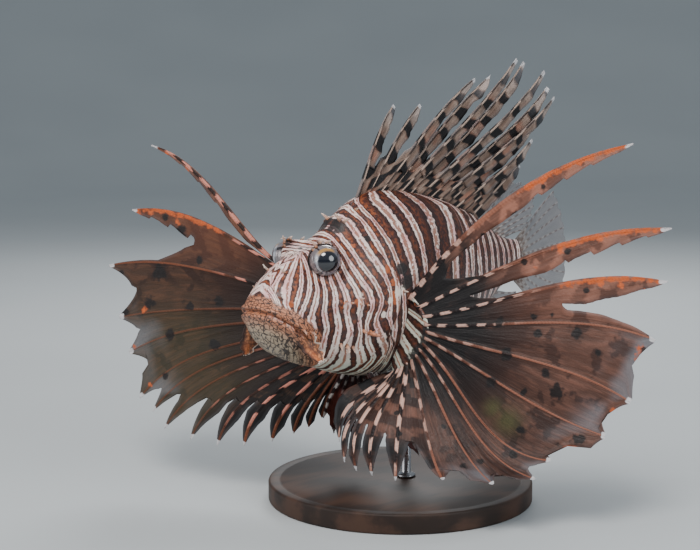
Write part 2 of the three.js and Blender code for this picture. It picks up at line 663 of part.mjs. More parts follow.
function standNodes(around) {
  const { radius, height, bevel } = BASE;
  const profile = [
    [0, 0], [radius - bevel, 0], [radius, bevel], [radius, height - bevel],
    [radius - bevel, height], [0, height],
  ].map(([r, z]) => new THREE.Vector2(r, z));
  const disc = new THREE.LatheGeometry(profile, 36);
  disc.rotateX(Math.PI / 2);
  const rodTop = AXIS_Z - 20;
  const rod = new THREE.CylinderGeometry(ROD.radius, ROD.radius, rodTop - height - GAP, 20);
  rod.rotateX(Math.PI / 2);
  rod.translate(0, ROD.behind + SNOUT_Y, (rodTop + height + GAP) / 2);
  return {
    stand_base: fromGeometry(disc),
    stand_rod: largest(fromGeometry(rod).subtract(around)),
  };
}

const skinTone = { color: "#b5785f", roughness: 0.5, metalness: 0 };
const finTone = { color: "#7a4a38", roughness: 0.5, metalness: 0 };
const MATERIALS = {
  eye: { color: "#1b2434", roughness: 0.15, metalness: 0 },
  stand: { color: "#26282b", roughness: 0.4, metalness: 0 },
  fin: finTone,
  skin: skinTone,
};

function materialFor(name) {
  const kind = name.startsWith("eye") ? "eye"
    : name.startsWith("stand") ? "stand"
      : /fin|pectoral_(top|upper|fan|lower)/.test(name) ? "fin" : "skin";
  return new THREE.MeshStandardMaterial(MATERIALS[kind]);
}

function geometryOf(made) {
  const mesh = made.getMesh();
  const positions = new Float32Array(mesh.numVert * 3);
  for (let i = 0; i < mesh.numVert; i++) {
    positions.set(mesh.vertProperties.subarray(i * mesh.numProp, i * mesh.numProp + 3), i * 3);
  }
  return new THREE.BufferGeometry()
    .setAttribute("position", new THREE.BufferAttribute(positions, 3))
    .setIndex(new THREE.BufferAttribute(mesh.triVerts, 1));
}

const around = body(GAP);
const solids = {
  ...bodyNodes(lips(0).reduce((whole, lip) => whole.add(lip), body(0))),
  ...eyeNodes(),
  ...pectoralNodes(around),
  dorsal_fin_spiny: spinyDorsal(around),
  dorsal_fin_soft: medianFin(SOFT_DORSAL, BACK_LINE, 1, around),
  anal_fin: medianFin(ANAL, BELLY_LINE, -1, around),
  tail_fin: caudalFin(around),
  ...pelvicNodes(around),
  ...lipFlapNodes(lips(GAP).reduce((whole, lip) => whole.add(lip), around)),
  ...standNodes(around),
};

const lionfish = new THREE.Group();
for (const [name, made] of Object.entries(solids)) {
  const mesh = new THREE.Mesh(geometryOf(made), materialFor(name));
  mesh.name = name;
  lionfish.add(mesh);
}

export default lionfish;
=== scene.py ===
import math
from types import SimpleNamespace
import bpy
import numpy as np
from mathutils import Matrix, Vector


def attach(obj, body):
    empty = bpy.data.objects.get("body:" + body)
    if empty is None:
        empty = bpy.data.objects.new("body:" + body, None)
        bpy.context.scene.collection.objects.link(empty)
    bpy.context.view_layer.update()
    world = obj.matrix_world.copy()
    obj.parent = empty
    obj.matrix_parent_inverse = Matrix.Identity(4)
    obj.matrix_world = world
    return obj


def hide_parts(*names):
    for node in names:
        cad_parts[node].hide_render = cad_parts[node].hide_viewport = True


# Red lionfish, a still life-size model of the swimming animal on a display stand.
# Lengths are in millimetres up to the point where a mesh is made. "Behind" is measured from
# the snout along the fish, "up" from the line through its middle, and "side" to its left.
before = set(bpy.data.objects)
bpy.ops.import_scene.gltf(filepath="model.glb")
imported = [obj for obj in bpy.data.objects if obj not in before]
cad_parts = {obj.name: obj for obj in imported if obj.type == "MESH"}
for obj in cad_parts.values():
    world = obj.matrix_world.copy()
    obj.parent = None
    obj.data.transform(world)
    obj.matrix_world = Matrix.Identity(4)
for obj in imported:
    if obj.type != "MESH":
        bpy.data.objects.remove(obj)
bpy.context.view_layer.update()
MM = 0.001

# The body's shape, as in the part.
STANDARD_LENGTH = 240
SNOUT_Y = -115
AXIS_Z = 132
TAIL_BEND = 16
BEND_START = 120
BACK_LINE = [
    (0, -3), (3, 5), (8, 11.5), (15, 17), (26, 23), (38, 29), (50, 35), (64, 45),
    (80, 54), (100, 56), (130, 52), (160, 44), (190, 32), (215, 19), (240, 14)]
BELLY_LINE = [
    (0, -9), (3, -18), (8, -26), (16, -32), (30, -38), (50, -44), (75, -51),
    (105, -52), (140, -45), (170, -34), (200, -20), (220, -13), (240, -13)]
HALF_WIDTH = [
    (0, 0), (1.5, 10), (5, 15.5), (12, 20), (22, 22), (38, 22.5), (52, 25), (68, 28),
    (86, 29), (110, 28), (140, 23.5), (170, 17), (200, 10.5), (222, 6.5), (240, 4.5)]
WIDEST_LEVEL = [(0, -7), (12, -10), (30, -9), (55, -8), (80, -4), (120, 0), (240, 0)]
ROOF_SHAPE = 1.2
EYE = (15, 38.5, 21.5)  # side, behind and up
EYE_RADIUS = 9.1
EYE_AXIS = (0.8, -0.58, 0.12)  # the way the cornea stands out
EYE_GAZE = (0.904, -0.483, 0.021)  # the way the pupil looks
PUPIL = 35.5  # the pupil's edge, in degrees from the gaze
MOUTH_LINE = [(-8, 0.5), (0, -4.5), (13, -14), (26, -25), (39, -36), (43, -48), (43, -70)]
GILL_LINE = [
    (60, 80), (64, 46), (66, 34), (73, 24), (81, 13), (85, 2), (83, -12), (76, -26),
    (66, -40), (58, -50), (56, -70)]
CHEEK_LINE = [(56, 13), (57, 2), (55, -12), (49, -26), (43, -36)]
HEAD_SPINES = [  # side, behind, up and height
    (11.5, 30, 29, 4), (11, 36, 32.5, 3.5), (10.5, 44, 34, 4.5), (7, 60, 40, 5), (6, 71, 46, 3)]
NOSTRIL = (8.5, 17)  # side and behind
# The swellings of the head: height, the middle's side, behind and up, and radius.
SWELLINGS = [
    (2.6, EYE[0] - 1, EYE[1], EYE[2], 11), (2.4, 11, 33, 30, 5), (2.2, 10.5, 43, 33, 5),
    (1.4, 6, 20, 21, 4), (1.5, 7, 60, 40, 4.5)]

# The fins' shapes, as in the part.
SPINE_FIRST, SPINE_LAST = 76, 178
SPINE_LENGTHS = [61, 69, 102, 113, 127, 135, 131, 133, 121, 102, 80, 65, 53]
SPINE_LEANS = [28, 42, 50, 54, 52, 55, 56, 61, 60, 60, 61, 60, 56]
SPINE_SPLAYS = [1.5, -2, 2.5, -1.5, 2, -2.5, 2.5, -2, 2, -2, 1.5, -1, 1]
SPINE_BOWS = [4, 3, 3, 2, -2, -3, -3, -3, -3, -3, -3, -2, -1]
# Each ray of the pectoral fins, from the top: its length, the degrees it rises and sweeps back,
# its bow, and how far up it is joined to the next. sag and vane are for the first rays only.
PECTORAL = {
    "left": dict(
        side=1,
        length=[155, 151, 140, 130, 122, 116, 99, 101, 91, 79, 72, 68, 66, 63, 54],
        rise=[36, 19, 10, -1.5, -16, -25, -37, -40, -45, -49, -59, -61, -59, -54, -46],
        sweep=[37, 36, 35, 33, 29, 26, 18, 10, -4, -26, -56, -78, -92, -100, -106],
        bow=[.06, .05, .05, .05, .04, -.03, -.12, -.1, -.07, -.08, .1, .17, .18, .17, .17],
        web=[.16, .22, .6, .95, .95, .95, .93, .93, .9, .7, .66, .62, .6, .6],
        sag=[.05, .02],
        vane=[8.5, 11, 14]),
    "right": dict(
        side=-1,
        length=[160, 149, 150, 138, 132, 131, 124, 121, 109, 97, 84, 70, 58, 50, 42],
        rise=[31, 18, 6, -5, -13, -24, -27, -31, -36, -41, -46, -52, -57, -61, -64],
        sweep=[-18, -22, -27, -30, -32, -35, -38, -40, -43, -45, -46, -45, -40, -30, -15],
        bow=[.05, .07, .05, .02, .05, .08, .08, .08, .09, .1, .11, .08, .06, .05, .04],
        web=[.2, .66, .9, .92, .92, .9, .84, .76, .7, .68, .66, .64, .62, .6],
        sag=[-.1, -.01],
        vane=[3.5, 14, 9])}
LOBE = dict(side=30, reach=15, tuck=10, behind=93, top=-4, height=44)  # the pectoral fin's root
ROOT_DEPTH = 24  # how far that root reaches into the body
SOFT_DORSAL = dict(rays=9, start=190, end=212, lengths=[44, 54, 54, 44, 28], leans=(60, 84))
ANAL = dict(rays=8, start=168, end=202, lengths=[18, 40, 54, 52, 30], leans=(42, 84))
CAUDAL = dict(rays=11, spread=64, lengths=[64, 72, 75, 72, 64])
PELVIC = dict(rays=6, side=9, behind=80, lengths=[46, 60, 62, 57, 48, 38],
              spread=dict(left=.24, right=.58))
# The flaps beside the mouth: root, tip and widest.
LIP_FLAPS = {
    "left": ((20, 13, -14), (25, 27, -34), 8.5),
    "right": ((-20, 11, -13), (-27, 16, -35), 10)}
BASE_RADIUS, BASE_HEIGHT = 80, 12
ROD_RADIUS, ROD_BEHIND = 3, 120

# The camera: where it looks from, and the photograph's frame.
AZIMUTH, ELEVATION = math.radians(46), math.radians(8)
LENS, SENSOR = 85, 36
FRAME_WIDTH, FRAME_HEIGHT = 700, 550
MM_PER_PIXEL = 0.55  # at the snout
SNOUT_PIXEL = (255, 303)
FOCAL_PIXELS = LENS / SENSOR * FRAME_WIDTH


# Sums

def smooth(pairs, x):
    """The smooth curve through (place, value) pairs, read at x."""
    xs, ys = np.array(pairs, float).T
    slope = np.empty_like(ys)
    slope[1:-1] = (ys[2:] - ys[:-2]) / (xs[2:] - xs[:-2])
    slope[0] = (ys[1] - ys[0]) / (xs[1] - xs[0])
    slope[-1] = (ys[-1] - ys[-2]) / (xs[-1] - xs[-2])
    x = np.clip(x, xs[0], xs[-1])
    i = np.clip(np.searchsorted(xs, x, side="right") - 1, 0, len(xs) - 2)
    width = xs[i + 1] - xs[i]
    t = (x - xs[i]) / width
    return (ys[i] * (2 * t**3 - 3 * t**2 + 1) + ys[i + 1] * (3 * t**2 - 2 * t**3)
            + width * (slope[i] * (t**3 - 2 * t**2 + t) + slope[i + 1] * (t**3 - t**2)))


def shares(count):
    return np.linspace(0, 1, count)


def along(values, share):
    """A value spread evenly over a short list, read at share 0 to 1."""
    return smooth(list(zip(shares(len(values)), values)), share)


def step(x, low, high):
    """0 below low, 1 above high and smooth between."""
    t = np.clip((x - low) / (high - low), 0, 1)
    return t * t * (3 - 2 * t)


def fade(x, low, high):
    """1 below low, 0 above high and smooth between."""
    return 1 - step(x, low, high)


def between(x, low, full_from, full_to, high):
    """1 from full_from to full_to, 0 below low and above high, and smooth between."""
    return step(x, low, full_from) * fade(x, full_to, high)


def bump(distance, radius):
    """1 at no distance, and falling away smoothly over the radius."""
    return np.exp(-((distance / radius) ** 2))


def unit(v):
    v = np.asarray(v, float)
    return v / np.maximum(np.linalg.norm(v, axis=-1, keepdims=True), 1e-12)


def mirrored(vector, way):
    """A place or direction on the left side, or its mirror image on the right where way is -1."""
    return np.array(vector, float) * [way, 1, 1]


def cross(down, across):
    """Two lists of numbers as the rows and columns of a grid, with both numbers for each point."""
    return [numbers.ravel() for numbers in np.meshgrid(down, across, indexing="ij")]


def circle(count):
    return np.linspace(0, 2 * np.pi, count, endpoint=False)


def swing(behind):
    """How far to the side the bend of the tail carries the fish's middle."""
    t = np.maximum(0, behind - BEND_START) / (STANDARD_LENGTH - BEND_START)
    return -TAIL_BEND * t * t


def place(side, behind, up):
    """Points from their places on the fish."""
    side, behind, up = np.broadcast_arrays(np.asarray(side, float), behind, up)
    return np.stack([side + swing(behind), behind + SNOUT_Y, up + AXIS_Z], -1)


def beside(line, x, y):
    """Signed distance of points from a line of (x, y) points, positive on the left of its course."""
    nearest = np.full(np.shape(x), 1e9)
    signed = np.zeros(np.shape(x))
    for (x0, y0), (x1, y1) in zip(line, line[1:]):
        dx, dy = x1 - x0, y1 - y0
        t = np.clip(((x - x0) * dx + (y - y0) * dy) / (dx * dx + dy * dy), 0, 1)
        away = np.hypot(x - x0 - t * dx, y - y0 - t * dy)
        turn = np.where((x - x0) * dy - (y - y0) * dx >= 0, -1, 1)
        closer = away < nearest
        signed = np.where(closer, turn * away, signed)
        nearest = np.where(closer, away, nearest)
    return signed


def wobble(x, y, seed):
    """A smooth made-up value between about -1 and 1."""
    draw = np.random.default_rng(seed)
    total = 0
    for size in (1.0, 2.1, 4.3):
        a, b, c, d = draw.uniform(0.6, 1.4, 2).tolist() + draw.uniform(0, 6.28, 2).tolist()
        total = total + np.sin(size * (a * x + 0.7 * y) + c) * np.cos(size * (b * y - 0.5 * x) + d) / size
    return total / 1.4


# The camera's place, and points of the photograph's frame on a surface.

camera_right = np.array([math.cos(AZIMUTH), math.sin(AZIMUTH), 0])
camera_back = np.array([
    math.sin(AZIMUTH) * math.cos(ELEVATION), -math.cos(AZIMUTH) * math.cos(ELEVATION), math.sin(ELEVATION)])
camera_up = np.cross(camera_back, camera_right)
snout = np.array([0, SNOUT_Y, AXIS_Z])
camera_place = (
    snout + MM_PER_PIXEL * FOCAL_PIXELS * camera_back
    - (SNOUT_PIXEL[0] - FRAME_WIDTH / 2) * MM_PER_PIXEL * camera_right
    - (FRAME_HEIGHT / 2 - SNOUT_PIXEL[1]) * MM_PER_PIXEL * camera_up)


def pixels(points):
    """Where points fall in the photograph's frame, and how far they are from the camera."""
    p = points - camera_place
    x, y, z = p @ camera_right, p @ camera_up, -(p @ camera_back)
    return FRAME_WIDTH / 2 + x / z * FOCAL_PIXELS, FRAME_HEIGHT / 2 - y / z * FOCAL_PIXELS, z


class Surface:
    """A mesh's points that face the camera, to be found from a point of the photograph's frame."""

    def __init__(self, points, normals):
        facing = np.einsum("ij,ij->i", normals, camera_place - points) > 0
        self.index = np.nonzero(facing)[0]
        self.x, self.y, self.depth = pixels(points[self.index])

    def find(self, x, y):
        away = np.hypot(self.x - x, self.y - y)
        near = away < away.min() + 1.0
        return self.index[near][np.argmin(self.depth[near] + away[near])]


def find_marks(points, normals, spots, ways=(1,)):
    """Soft round marks at points of the photograph, each with its radius, on the left or on both sides."""
    surface = Surface(points, normals)
    mark = np.zeros(len(points))
    for x, y, radius in spots:
        middle = points[surface.find(x, y)]
        for way in ways:
            away = np.linalg.norm(points - mirrored(middle, way), axis=1)
            mark = np.maximum(mark, bump(away, radius))
    return mark


# Meshes

def grid_faces(rows, columns, closed):
    """Quads of a grid of rows by columns, closed round the columns or not."""
    r = np.arange(rows - 1)[:, None]
    c = np.arange(columns if closed else columns - 1)[None, :]
    a = r * columns + c
    b = r * columns + (c + 1) % columns
    return np.stack([a, b, b + columns, a + columns], -1).reshape(-1, 4)


def tube_faces(rows, sides):
    """The quads round a tube of rows by sides, and its two ends."""
    ends = [list(range(sides))[::-1], list(range((rows - 1) * sides, rows * sides))]
    return grid_faces(rows, sides, closed=True).tolist() + ends


def vertex_normals(points, quads):
    n = np.cross(points[quads[:, 2]] - points[quads[:, 0]], points[quads[:, 3]] - points[quads[:, 1]])
    total = np.zeros_like(points)
    for k in range(4):
        np.add.at(total, quads[:, k], n)
    return unit(total)


def shell(points, quads, half):
    """Both faces of a sheet, half apart on each side, and the walls round its edges."""
    normals = vertex_normals(points, quads)
    count = len(points)
    both = np.concatenate([points + normals * half[:, None], points - normals * half[:, None]])
    edges = np.concatenate([quads[:, [k, (k + 1) % 4]] for k in range(4)])
    codes = edges[:, 0] * count + edges[:, 1]
    alone = ~np.isin(codes, edges[:, 1] * count + edges[:, 0])
    a, b = edges[alone].T
    walls = np.stack([b, a, a + count, b + count], -1)
    return both, np.concatenate([quads, quads[:, ::-1] + count, walls]).tolist()


def add_object(name, data):
    made = bpy.data.objects.new(name, data)
    bpy.context.scene.collection.objects.link(made)
    return made


def smooth_object(name, points, faces, material):
    """An object with smooth faces, from points in millimetres."""
    mesh = bpy.data.meshes.new(name)
    mesh.from_pydata((points * MM).tolist(), [], faces)
    mesh.shade_smooth()
    mesh.materials.append(material)
    return add_object(name, mesh)


def make_piece(name, points, faces, values, material, slot, *nodes):
    """A piece of the model, with a number for each vertex under each name in values."""
    piece = smooth_object(name, points, faces, material)
    for key, value in values.items():
        piece.data.attributes.new(key, "FLOAT", "POINT").data.foreach_set(
            "value", np.broadcast_to(value, len(points)).astype(np.float32))
    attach(piece, "root")
    if nodes:
        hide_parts(*nodes)


def make_sheet(name, points, quads, half, values, material, slot, *nodes):
    """A thin piece that reaches half to each side of a sheet, with the same values on both faces."""
    both, faces = shell(points, quads, half)
    values = {key: np.tile(np.broadcast_to(value, len(points)), 2) for key, value in values.items()}
    make_piece(name, both, faces, values, material, slot, *nodes)


# Materials

def colour(red, green, blue):
    """A colour from its 0 to 255 values on a screen."""
    def linear(v):
        v /= 255
        return v / 12.92 if v <= 0.04045 else ((v + 0.055) / 1.055) ** 2.4
    return (linear(red), linear(green), linear(blue), 1)


class Wire:
    """A value that a node works out, for sums with numbers and other wires."""

    def __init__(self, paint, socket):
        self.paint = paint
        self.socket = socket

    def __add__(self, other):
        return self.paint.math("ADD", self, other)

    def __sub__(self, other):
        return self.paint.math("SUBTRACT", self, other)

    def __rsub__(self, other):
        return self.paint.math("SUBTRACT", other, self)

    def __mul__(self, other):
        return self.paint.math("MULTIPLY", self, other)


class Paint:
    """A material, and short calls for its nodes."""

    def __init__(self, name, **settings):
        self.material = bpy.data.materials.new(name)
        self.material.use_nodes = True
        self.tree = self.material.node_tree
        self.shader = self.tree.nodes["Principled BSDF"]
        self.finished(**settings)

    def finished(self, **inputs):
        """The material, once the shader's inputs, such as Base_Color, have these numbers or wires."""
        for key, value in inputs.items():
            self.feed(value, self.shader.inputs[key.replace("_", " ")])
        return self.material

    def feed(self, value, socket):
        if isinstance(value, Wire):
            self.tree.links.new(value.socket, socket)
        else:
            socket.default_value = value

    def node(self, kind, inputs, output=0, **settings):
        """One output of a new node with these inputs, by name or number, and settings."""
        made = self.tree.nodes.new(kind)
        for key, value in settings.items():
            setattr(made, key, value)
        for key, value in inputs.items():
            self.feed(value, made.inputs[key])
        return Wire(self, made.outputs[output])

    def value(self, name):
        """A number that each vertex carries."""
        return self.node("ShaderNodeAttribute", {}, "Fac", attribute_name=name)

    def math(self, operation, *numbers):
        return self.node("ShaderNodeMath", dict(enumerate(numbers)), operation=operation)

    def ramp(self, value, low, high, to_low=0.0, to_high=1.0):
        """value from low to high, smoothly turned into to_low to to_high."""
        inputs = dict(enumerate((value, low, high, to_low, to_high)))
        return self.node("ShaderNodeMapRange", inputs, interpolation_type="SMOOTHSTEP")

    def mix(self, share, a, b):
        """a where share is 0 and b where it is 1: a colour, from colours or wires."""
        return self.node("ShaderNodeMix", {0: share, 6: a, 7: b}, 2, data_type="RGBA")

    def place(self, *stretch):
        """The place on the object, in millimetres unless it is stretched otherwise."""
        inputs = {0: self.node("ShaderNodeTexCoord", {}, "Object"), 1: stretch or (1 / MM,) * 3}
        return self.node("ShaderNodeVectorMath", inputs, operation="MULTIPLY")

    def noise(self, where, scale, detail=2.0, rough=0.5):
        inputs = dict(Vector=where, Scale=scale, Detail=detail, Roughness=rough)
        return self.node("ShaderNodeTexNoise", inputs, "Fac")

    def cells(self, where, scale, feature):
        return self.node("ShaderNodeTexVoronoi", dict(Vector=where, Scale=scale), "Distance", feature=feature)

    def vector(self, x, y):
        return self.node("ShaderNodeCombineXYZ", {0: x, 1: y})

    def marked(self, skin, torn, full, marks):
        """skin under patches of (value's name, colour, strength), whose edges a noise tears."""
        for name, tone, strength in marks:
            patch = self.ramp(self.value(name) + torn, 0.32, full)
            skin = self.mix(patch * strength, skin, tone)
        return skin

    def bumps(self, height, distance):
        """A shading normal for a height, times a distance in millimetres."""
        inputs = dict(Height=height, Distance=distance * MM, Strength=1.0)
        return self.node("ShaderNodeBump", inputs)


# The skin

def above_ridge(behind, up):
    """How far a place is above the low ridge that runs back along the cheek."""
    return up + 1 + (behind - 30) * 0.12


def relief(side, behind, up):
    """The raised and sunk forms of the head that the part has."""
    s = np.abs(side)
    h = 0
    for height, at_side, at_behind, at_up, radius in SWELLINGS:
        away = np.sqrt((s - at_side) ** 2 + (behind - at_behind) ** 2 + (up - at_up) ** 2)
        h = h + height * bump(away, radius)
    dip = bump(np.hypot(s, up - 31), 6) * bump(behind - 39, 11)
    ridge = bump(above_ridge(behind, up), 3.2) * bump(behind - 50, 17) * (s > 8)
    return h - 2.6 * dip + 1.6 * ridge


def fine_relief(side, behind, up):
    """Lips, gill cover edges, nostrils and folds: forms finer than the part's."""
    mouth = beside(MOUTH_LINE, behind, up)
    front = fade(behind, 30, 40)
    h = front * (1.5 * bump(mouth - 2, 1.5) + 1.4 * bump(mouth + 2, 1.4) - 1.5 * bump(mouth, 0.7))
    h -= 0.8 * bump(mouth, 1.0) * between(behind, 30, 40, 44, 47)
    h -= 0.7 * bump(mouth - 9.5, 1.0) * front * step(behind, 4, 9)
    # The free edges of the gill cover and the cheek: a rise in front and a drop behind.
    gill = beside(GILL_LINE, behind, up)
    edge = 1.3 * between(gill, -16, -1.5, -0.4, 0.4) - 1.4 * between(gill, -0.4, 0.4, 0.5, 10)
    h += between(up, -50, -42, 16, 32) * edge
    cheek = beside(CHEEK_LINE, behind, up)
    edge = 0.9 * between(cheek, -7, -0.6, -0.3, 0.3) - 0.5 * between(cheek, -0.3, 0.3, 0.4, 4)
    h += between(up, -37, -30, 5, 13) * edge
    ridge = bump(above_ridge(behind, up), 1.6) * bump(behind - 46, 15) * (np.abs(side) > 8)
    h += 0.5 * ridge * np.sin(behind * 1.5)
    pit = np.sqrt((np.abs(side) - NOSTRIL[0]) ** 2 + (behind - NOSTRIL[1]) ** 2
                  + (up - smooth(BACK_LINE, NOSTRIL[1]) + 2) ** 2)
    h += 0.7 * bump(pit - 1.9, 0.7) - 1.1 * bump(pit, 1.1)
    head = fade(behind, 70, 95)
    h += 0.16 * head * wobble(behind * 0.55, up * 0.55 + np.abs(side) * 0.3, 5)
    h += 0.25 * (1 - head) * wobble(behind * 0.12, up * 0.12, 6)
    return h


def about_eye(points, way):
    """Points from an eye's middle, its axis, and how far they are ahead along it and across from it."""
    r = points - place(*mirrored(EYE, way))
    axis = unit(mirrored(EYE_AXIS, way))
    ahead = r @ axis
    return r, axis, ahead, np.linalg.norm(r - ahead[:, None] * axis, axis=1)


def lift_lids(points, side):
    """Raises the skin into a lid round each eye, and sinks it inside the eyeball."""
    for way in (1, -1):
        _, axis, ahead, across = about_eye(points, way)
        lid = 2.3 * step(across, 8.5, 9.3)
        weight = fade(across, 10.3, 15.5) * step(ahead, -10, -3)
        weight = np.maximum(weight, (across < 9.6) * (ahead > -9)) * (side * way > 0)
        points = points + (weight * (lid - ahead))[:, None] * axis
    return points


def skin_grid():
    """The whole skin: its points, quads and normals, and where on the fish each point is."""
    rings, columns = 470, 340
    behind = STANDARD_LENGTH * ((np.arange(rings) + 1) / rings) ** 1.4
    b, t = cross(behind, np.arange(columns) / columns)
    c, s = np.cos(2 * np.pi * t), np.sin(2 * np.pi * t)
    level = smooth(WIDEST_LEVEL, b)
    edge = np.where(s > 0, smooth(BACK_LINE, b), smooth(BELLY_LINE, b))
    side = smooth(HALF_WIDTH, b) * np.sign(c) * np.abs(c) ** np.where(s > 0, ROOF_SHAPE, 1)
    up = level + (edge - level) * np.abs(s)
    out = unit(np.stack([side, 0 * side, up - level], -1))
    h = relief(side, b, up)
    points = place(side + out[:, 0] * h, b, up + out[:, 2] * h)
    quads = grid_faces(rings, columns, closed=True)
    normals = vertex_normals(points, quads)
    if normals[columns * (rings // 3), 0] < 0:
        quads = quads[:, ::-1]
        normals = -normals
    points = lift_lids(points + normals * fine_relief(side, b, up)[:, None], side)
    climb = np.where(t > 0.75, t - 1, np.where(t > 0.25, 0.5 - t, t))
    ends = [list(range(columns)), list(range((rings - 1) * columns, rings * columns))]
    return SimpleNamespace(
        points=points, faces=quads.tolist() + ends, normals=vertex_normals(points, quads), behind=b, up=up,
        side=side, climb=climb)


# The middles of the dark bands on the left side, from snout to tail. Each has how far behind it starts
# on the ridge of the back, points of the photograph, and how far behind it ends on the belly.
BANDS = [
    (8, [(286, 244), (279, 256), (271, 268), (263, 280), (257, 288)], 1),
    (13, [(294, 244), (287, 256), (280, 269), (272, 283), (266, 291)], 3),
    (19, [(300, 246), (294, 258), (288, 269), (281, 281), (276, 293)], 6),
    (26, [(307, 241), (303, 250), (300, 262), (298, 272), (297, 283), (294, 294), (291, 304)], 18),
    (30, [(305, 270), (306, 281), (305, 289), (304, 296), (300, 306), (295, 317)], 24),
    (33, [(313, 278), (314, 289), (312, 297), (309, 306), (305, 317), (303, 324)], 29),
    (36, [(319, 280), (322, 291), (321, 302), (318, 313), (320, 324), (322, 332), (319, 344)], 34),
    (39, [(327, 283), (331, 293), (330, 305), (331, 316), (333, 326), (331, 338), (329, 347)], 38),
    (42, [(333, 276), (338, 287), (341, 296), (341, 306), (343, 318), (345, 330), (341, 345),
    (336, 360)], 46),
    (45, [(340, 271), (346, 281), (351, 291), (355, 300), (353, 312), (355, 322), (357, 333), (353, 348),
          (354, 366)], 54),
    (48, [(343, 258), (349, 268), (355, 278), (361, 287), (366, 296), (368, 308), (364, 322), (364, 344),
          (369, 360)], 62),
    (52, [(341, 243), (350, 256), (358, 267), (366, 278), (374, 289), (378, 300), (374, 314), (370, 326),
          (374, 344), (380, 356)], 69),
    (57, [(340, 226), (347, 236), (355, 247), (364, 259), (373, 271), (383, 284), (388, 295), (385, 308),
          (381, 318), (388, 328), (396, 344)], 76),
    (66, [(338, 213), (350, 215), (359, 222), (365, 233), (374, 247), (382, 259), (389, 271),
    (393, 283)], 84),
    (74, [(351, 203), (359, 213), (368, 221), (376, 231), (383, 243), (388, 252), (393, 264),
    (398, 276)], 90),
    (84, [(362, 201), (369, 209), (377, 217), (385, 227), (393, 237), (398, 249), (403, 264),
    (408, 280)], 97),
    (96, [(384, 197), (394, 207), (402, 217), (409, 227), (414, 239), (418, 251), (421, 266),
    (423, 279)], 107),
    (106, [(402, 198), (412, 207), (419, 218), (425, 230), (428, 242), (430, 256), (431, 269)], 117),
    (119, [(431, 201), (438, 212), (443, 224), (446, 238), (447, 251)], 129),
    (129, [(449, 204), (456, 215), (460, 227), (461, 240)], 139),
    (139, [(466, 211), (473, 222), (477, 232)], 149),
    (152, [], 160), (162, [], 168), (175, [], 178), (184, [], 186), (196, [], 197), (205, [], 205),
    (216, [], 214), (224, [], 221), (233, [], 229)]
# Half the width of each dark band, as a share of the way from one band to the next.
DARK_SHARE = [.17, .17, .18, .30, .22, .24, .22, .30, .20, .28, .24, .22, .34, .24, .26, .36, .24, .36,
              .38, .2, .36, .24, .36, .24, .36, .24, .36, .24, .36, .24]
CLIMB_LENGTH = 240  # how many millimetres a full turn round the body counts for

# Round marks at points of the photograph, each with its radius in millimetres.
BLACK_PATCHES = [
    (338, 227, 4.6), (336, 222, 3.6), (323, 226, 3.4), (367, 239, 2.4), (403, 270, 4.5), (407, 281, 5.0),
    (306, 248, 1.6)]
ORANGE_PATCHES = [
    (290, 305, 2.6), (344, 306, 1.9), (360, 302, 3.6), (395, 283, 3.0), (393, 294, 2.8), (352, 246, 2.2),
    (396, 301, 2.4), (388, 270, 2.6)]
PALE_PATCHES = [
    (438, 247, 1.3), (473, 265, 1.3), (398, 292, 2.6), (403, 288, 2.0), (362, 296, 2.0), (391, 301, 2.0),
    (384, 314, 2.0)]


def band_phase(skin):
    """Counts the dark bands from snout to tail: whole numbers lie in the middle of a band."""
    surface = Surface(skin.points, skin.normals)
    y = skin.climb * CLIMB_LENGTH
    ends = CLIMB_LENGTH / 4
    signed = []
    for top, traced, bottom in BANDS:
        found = [surface.find(*pixel) for pixel in traced]
        line = [(skin.behind[k], y[k]) for k in found if skin.side[k] > 0.5]
        line = sorted([(top, ends), *line, (bottom, -ends)], key=lambda point: -point[1])
        signed.append(beside(line, skin.behind, y))
    signed = np.array(signed)
    passed = (signed >= 0).sum(0)
    low = np.clip(passed - 1, 0, len(BANDS) - 1)
    high = np.clip(passed, 0, len(BANDS) - 1)
    each = np.arange(len(y))
    a, b = np.abs(signed[low, each]), np.abs(signed[high, each])
    phase = low + a / np.maximum(a + b, 1e-6)
    phase = np.where(passed == 0, -b / 5, phase)
    return np.where(passed == len(BANDS), low + a / 8, phase)


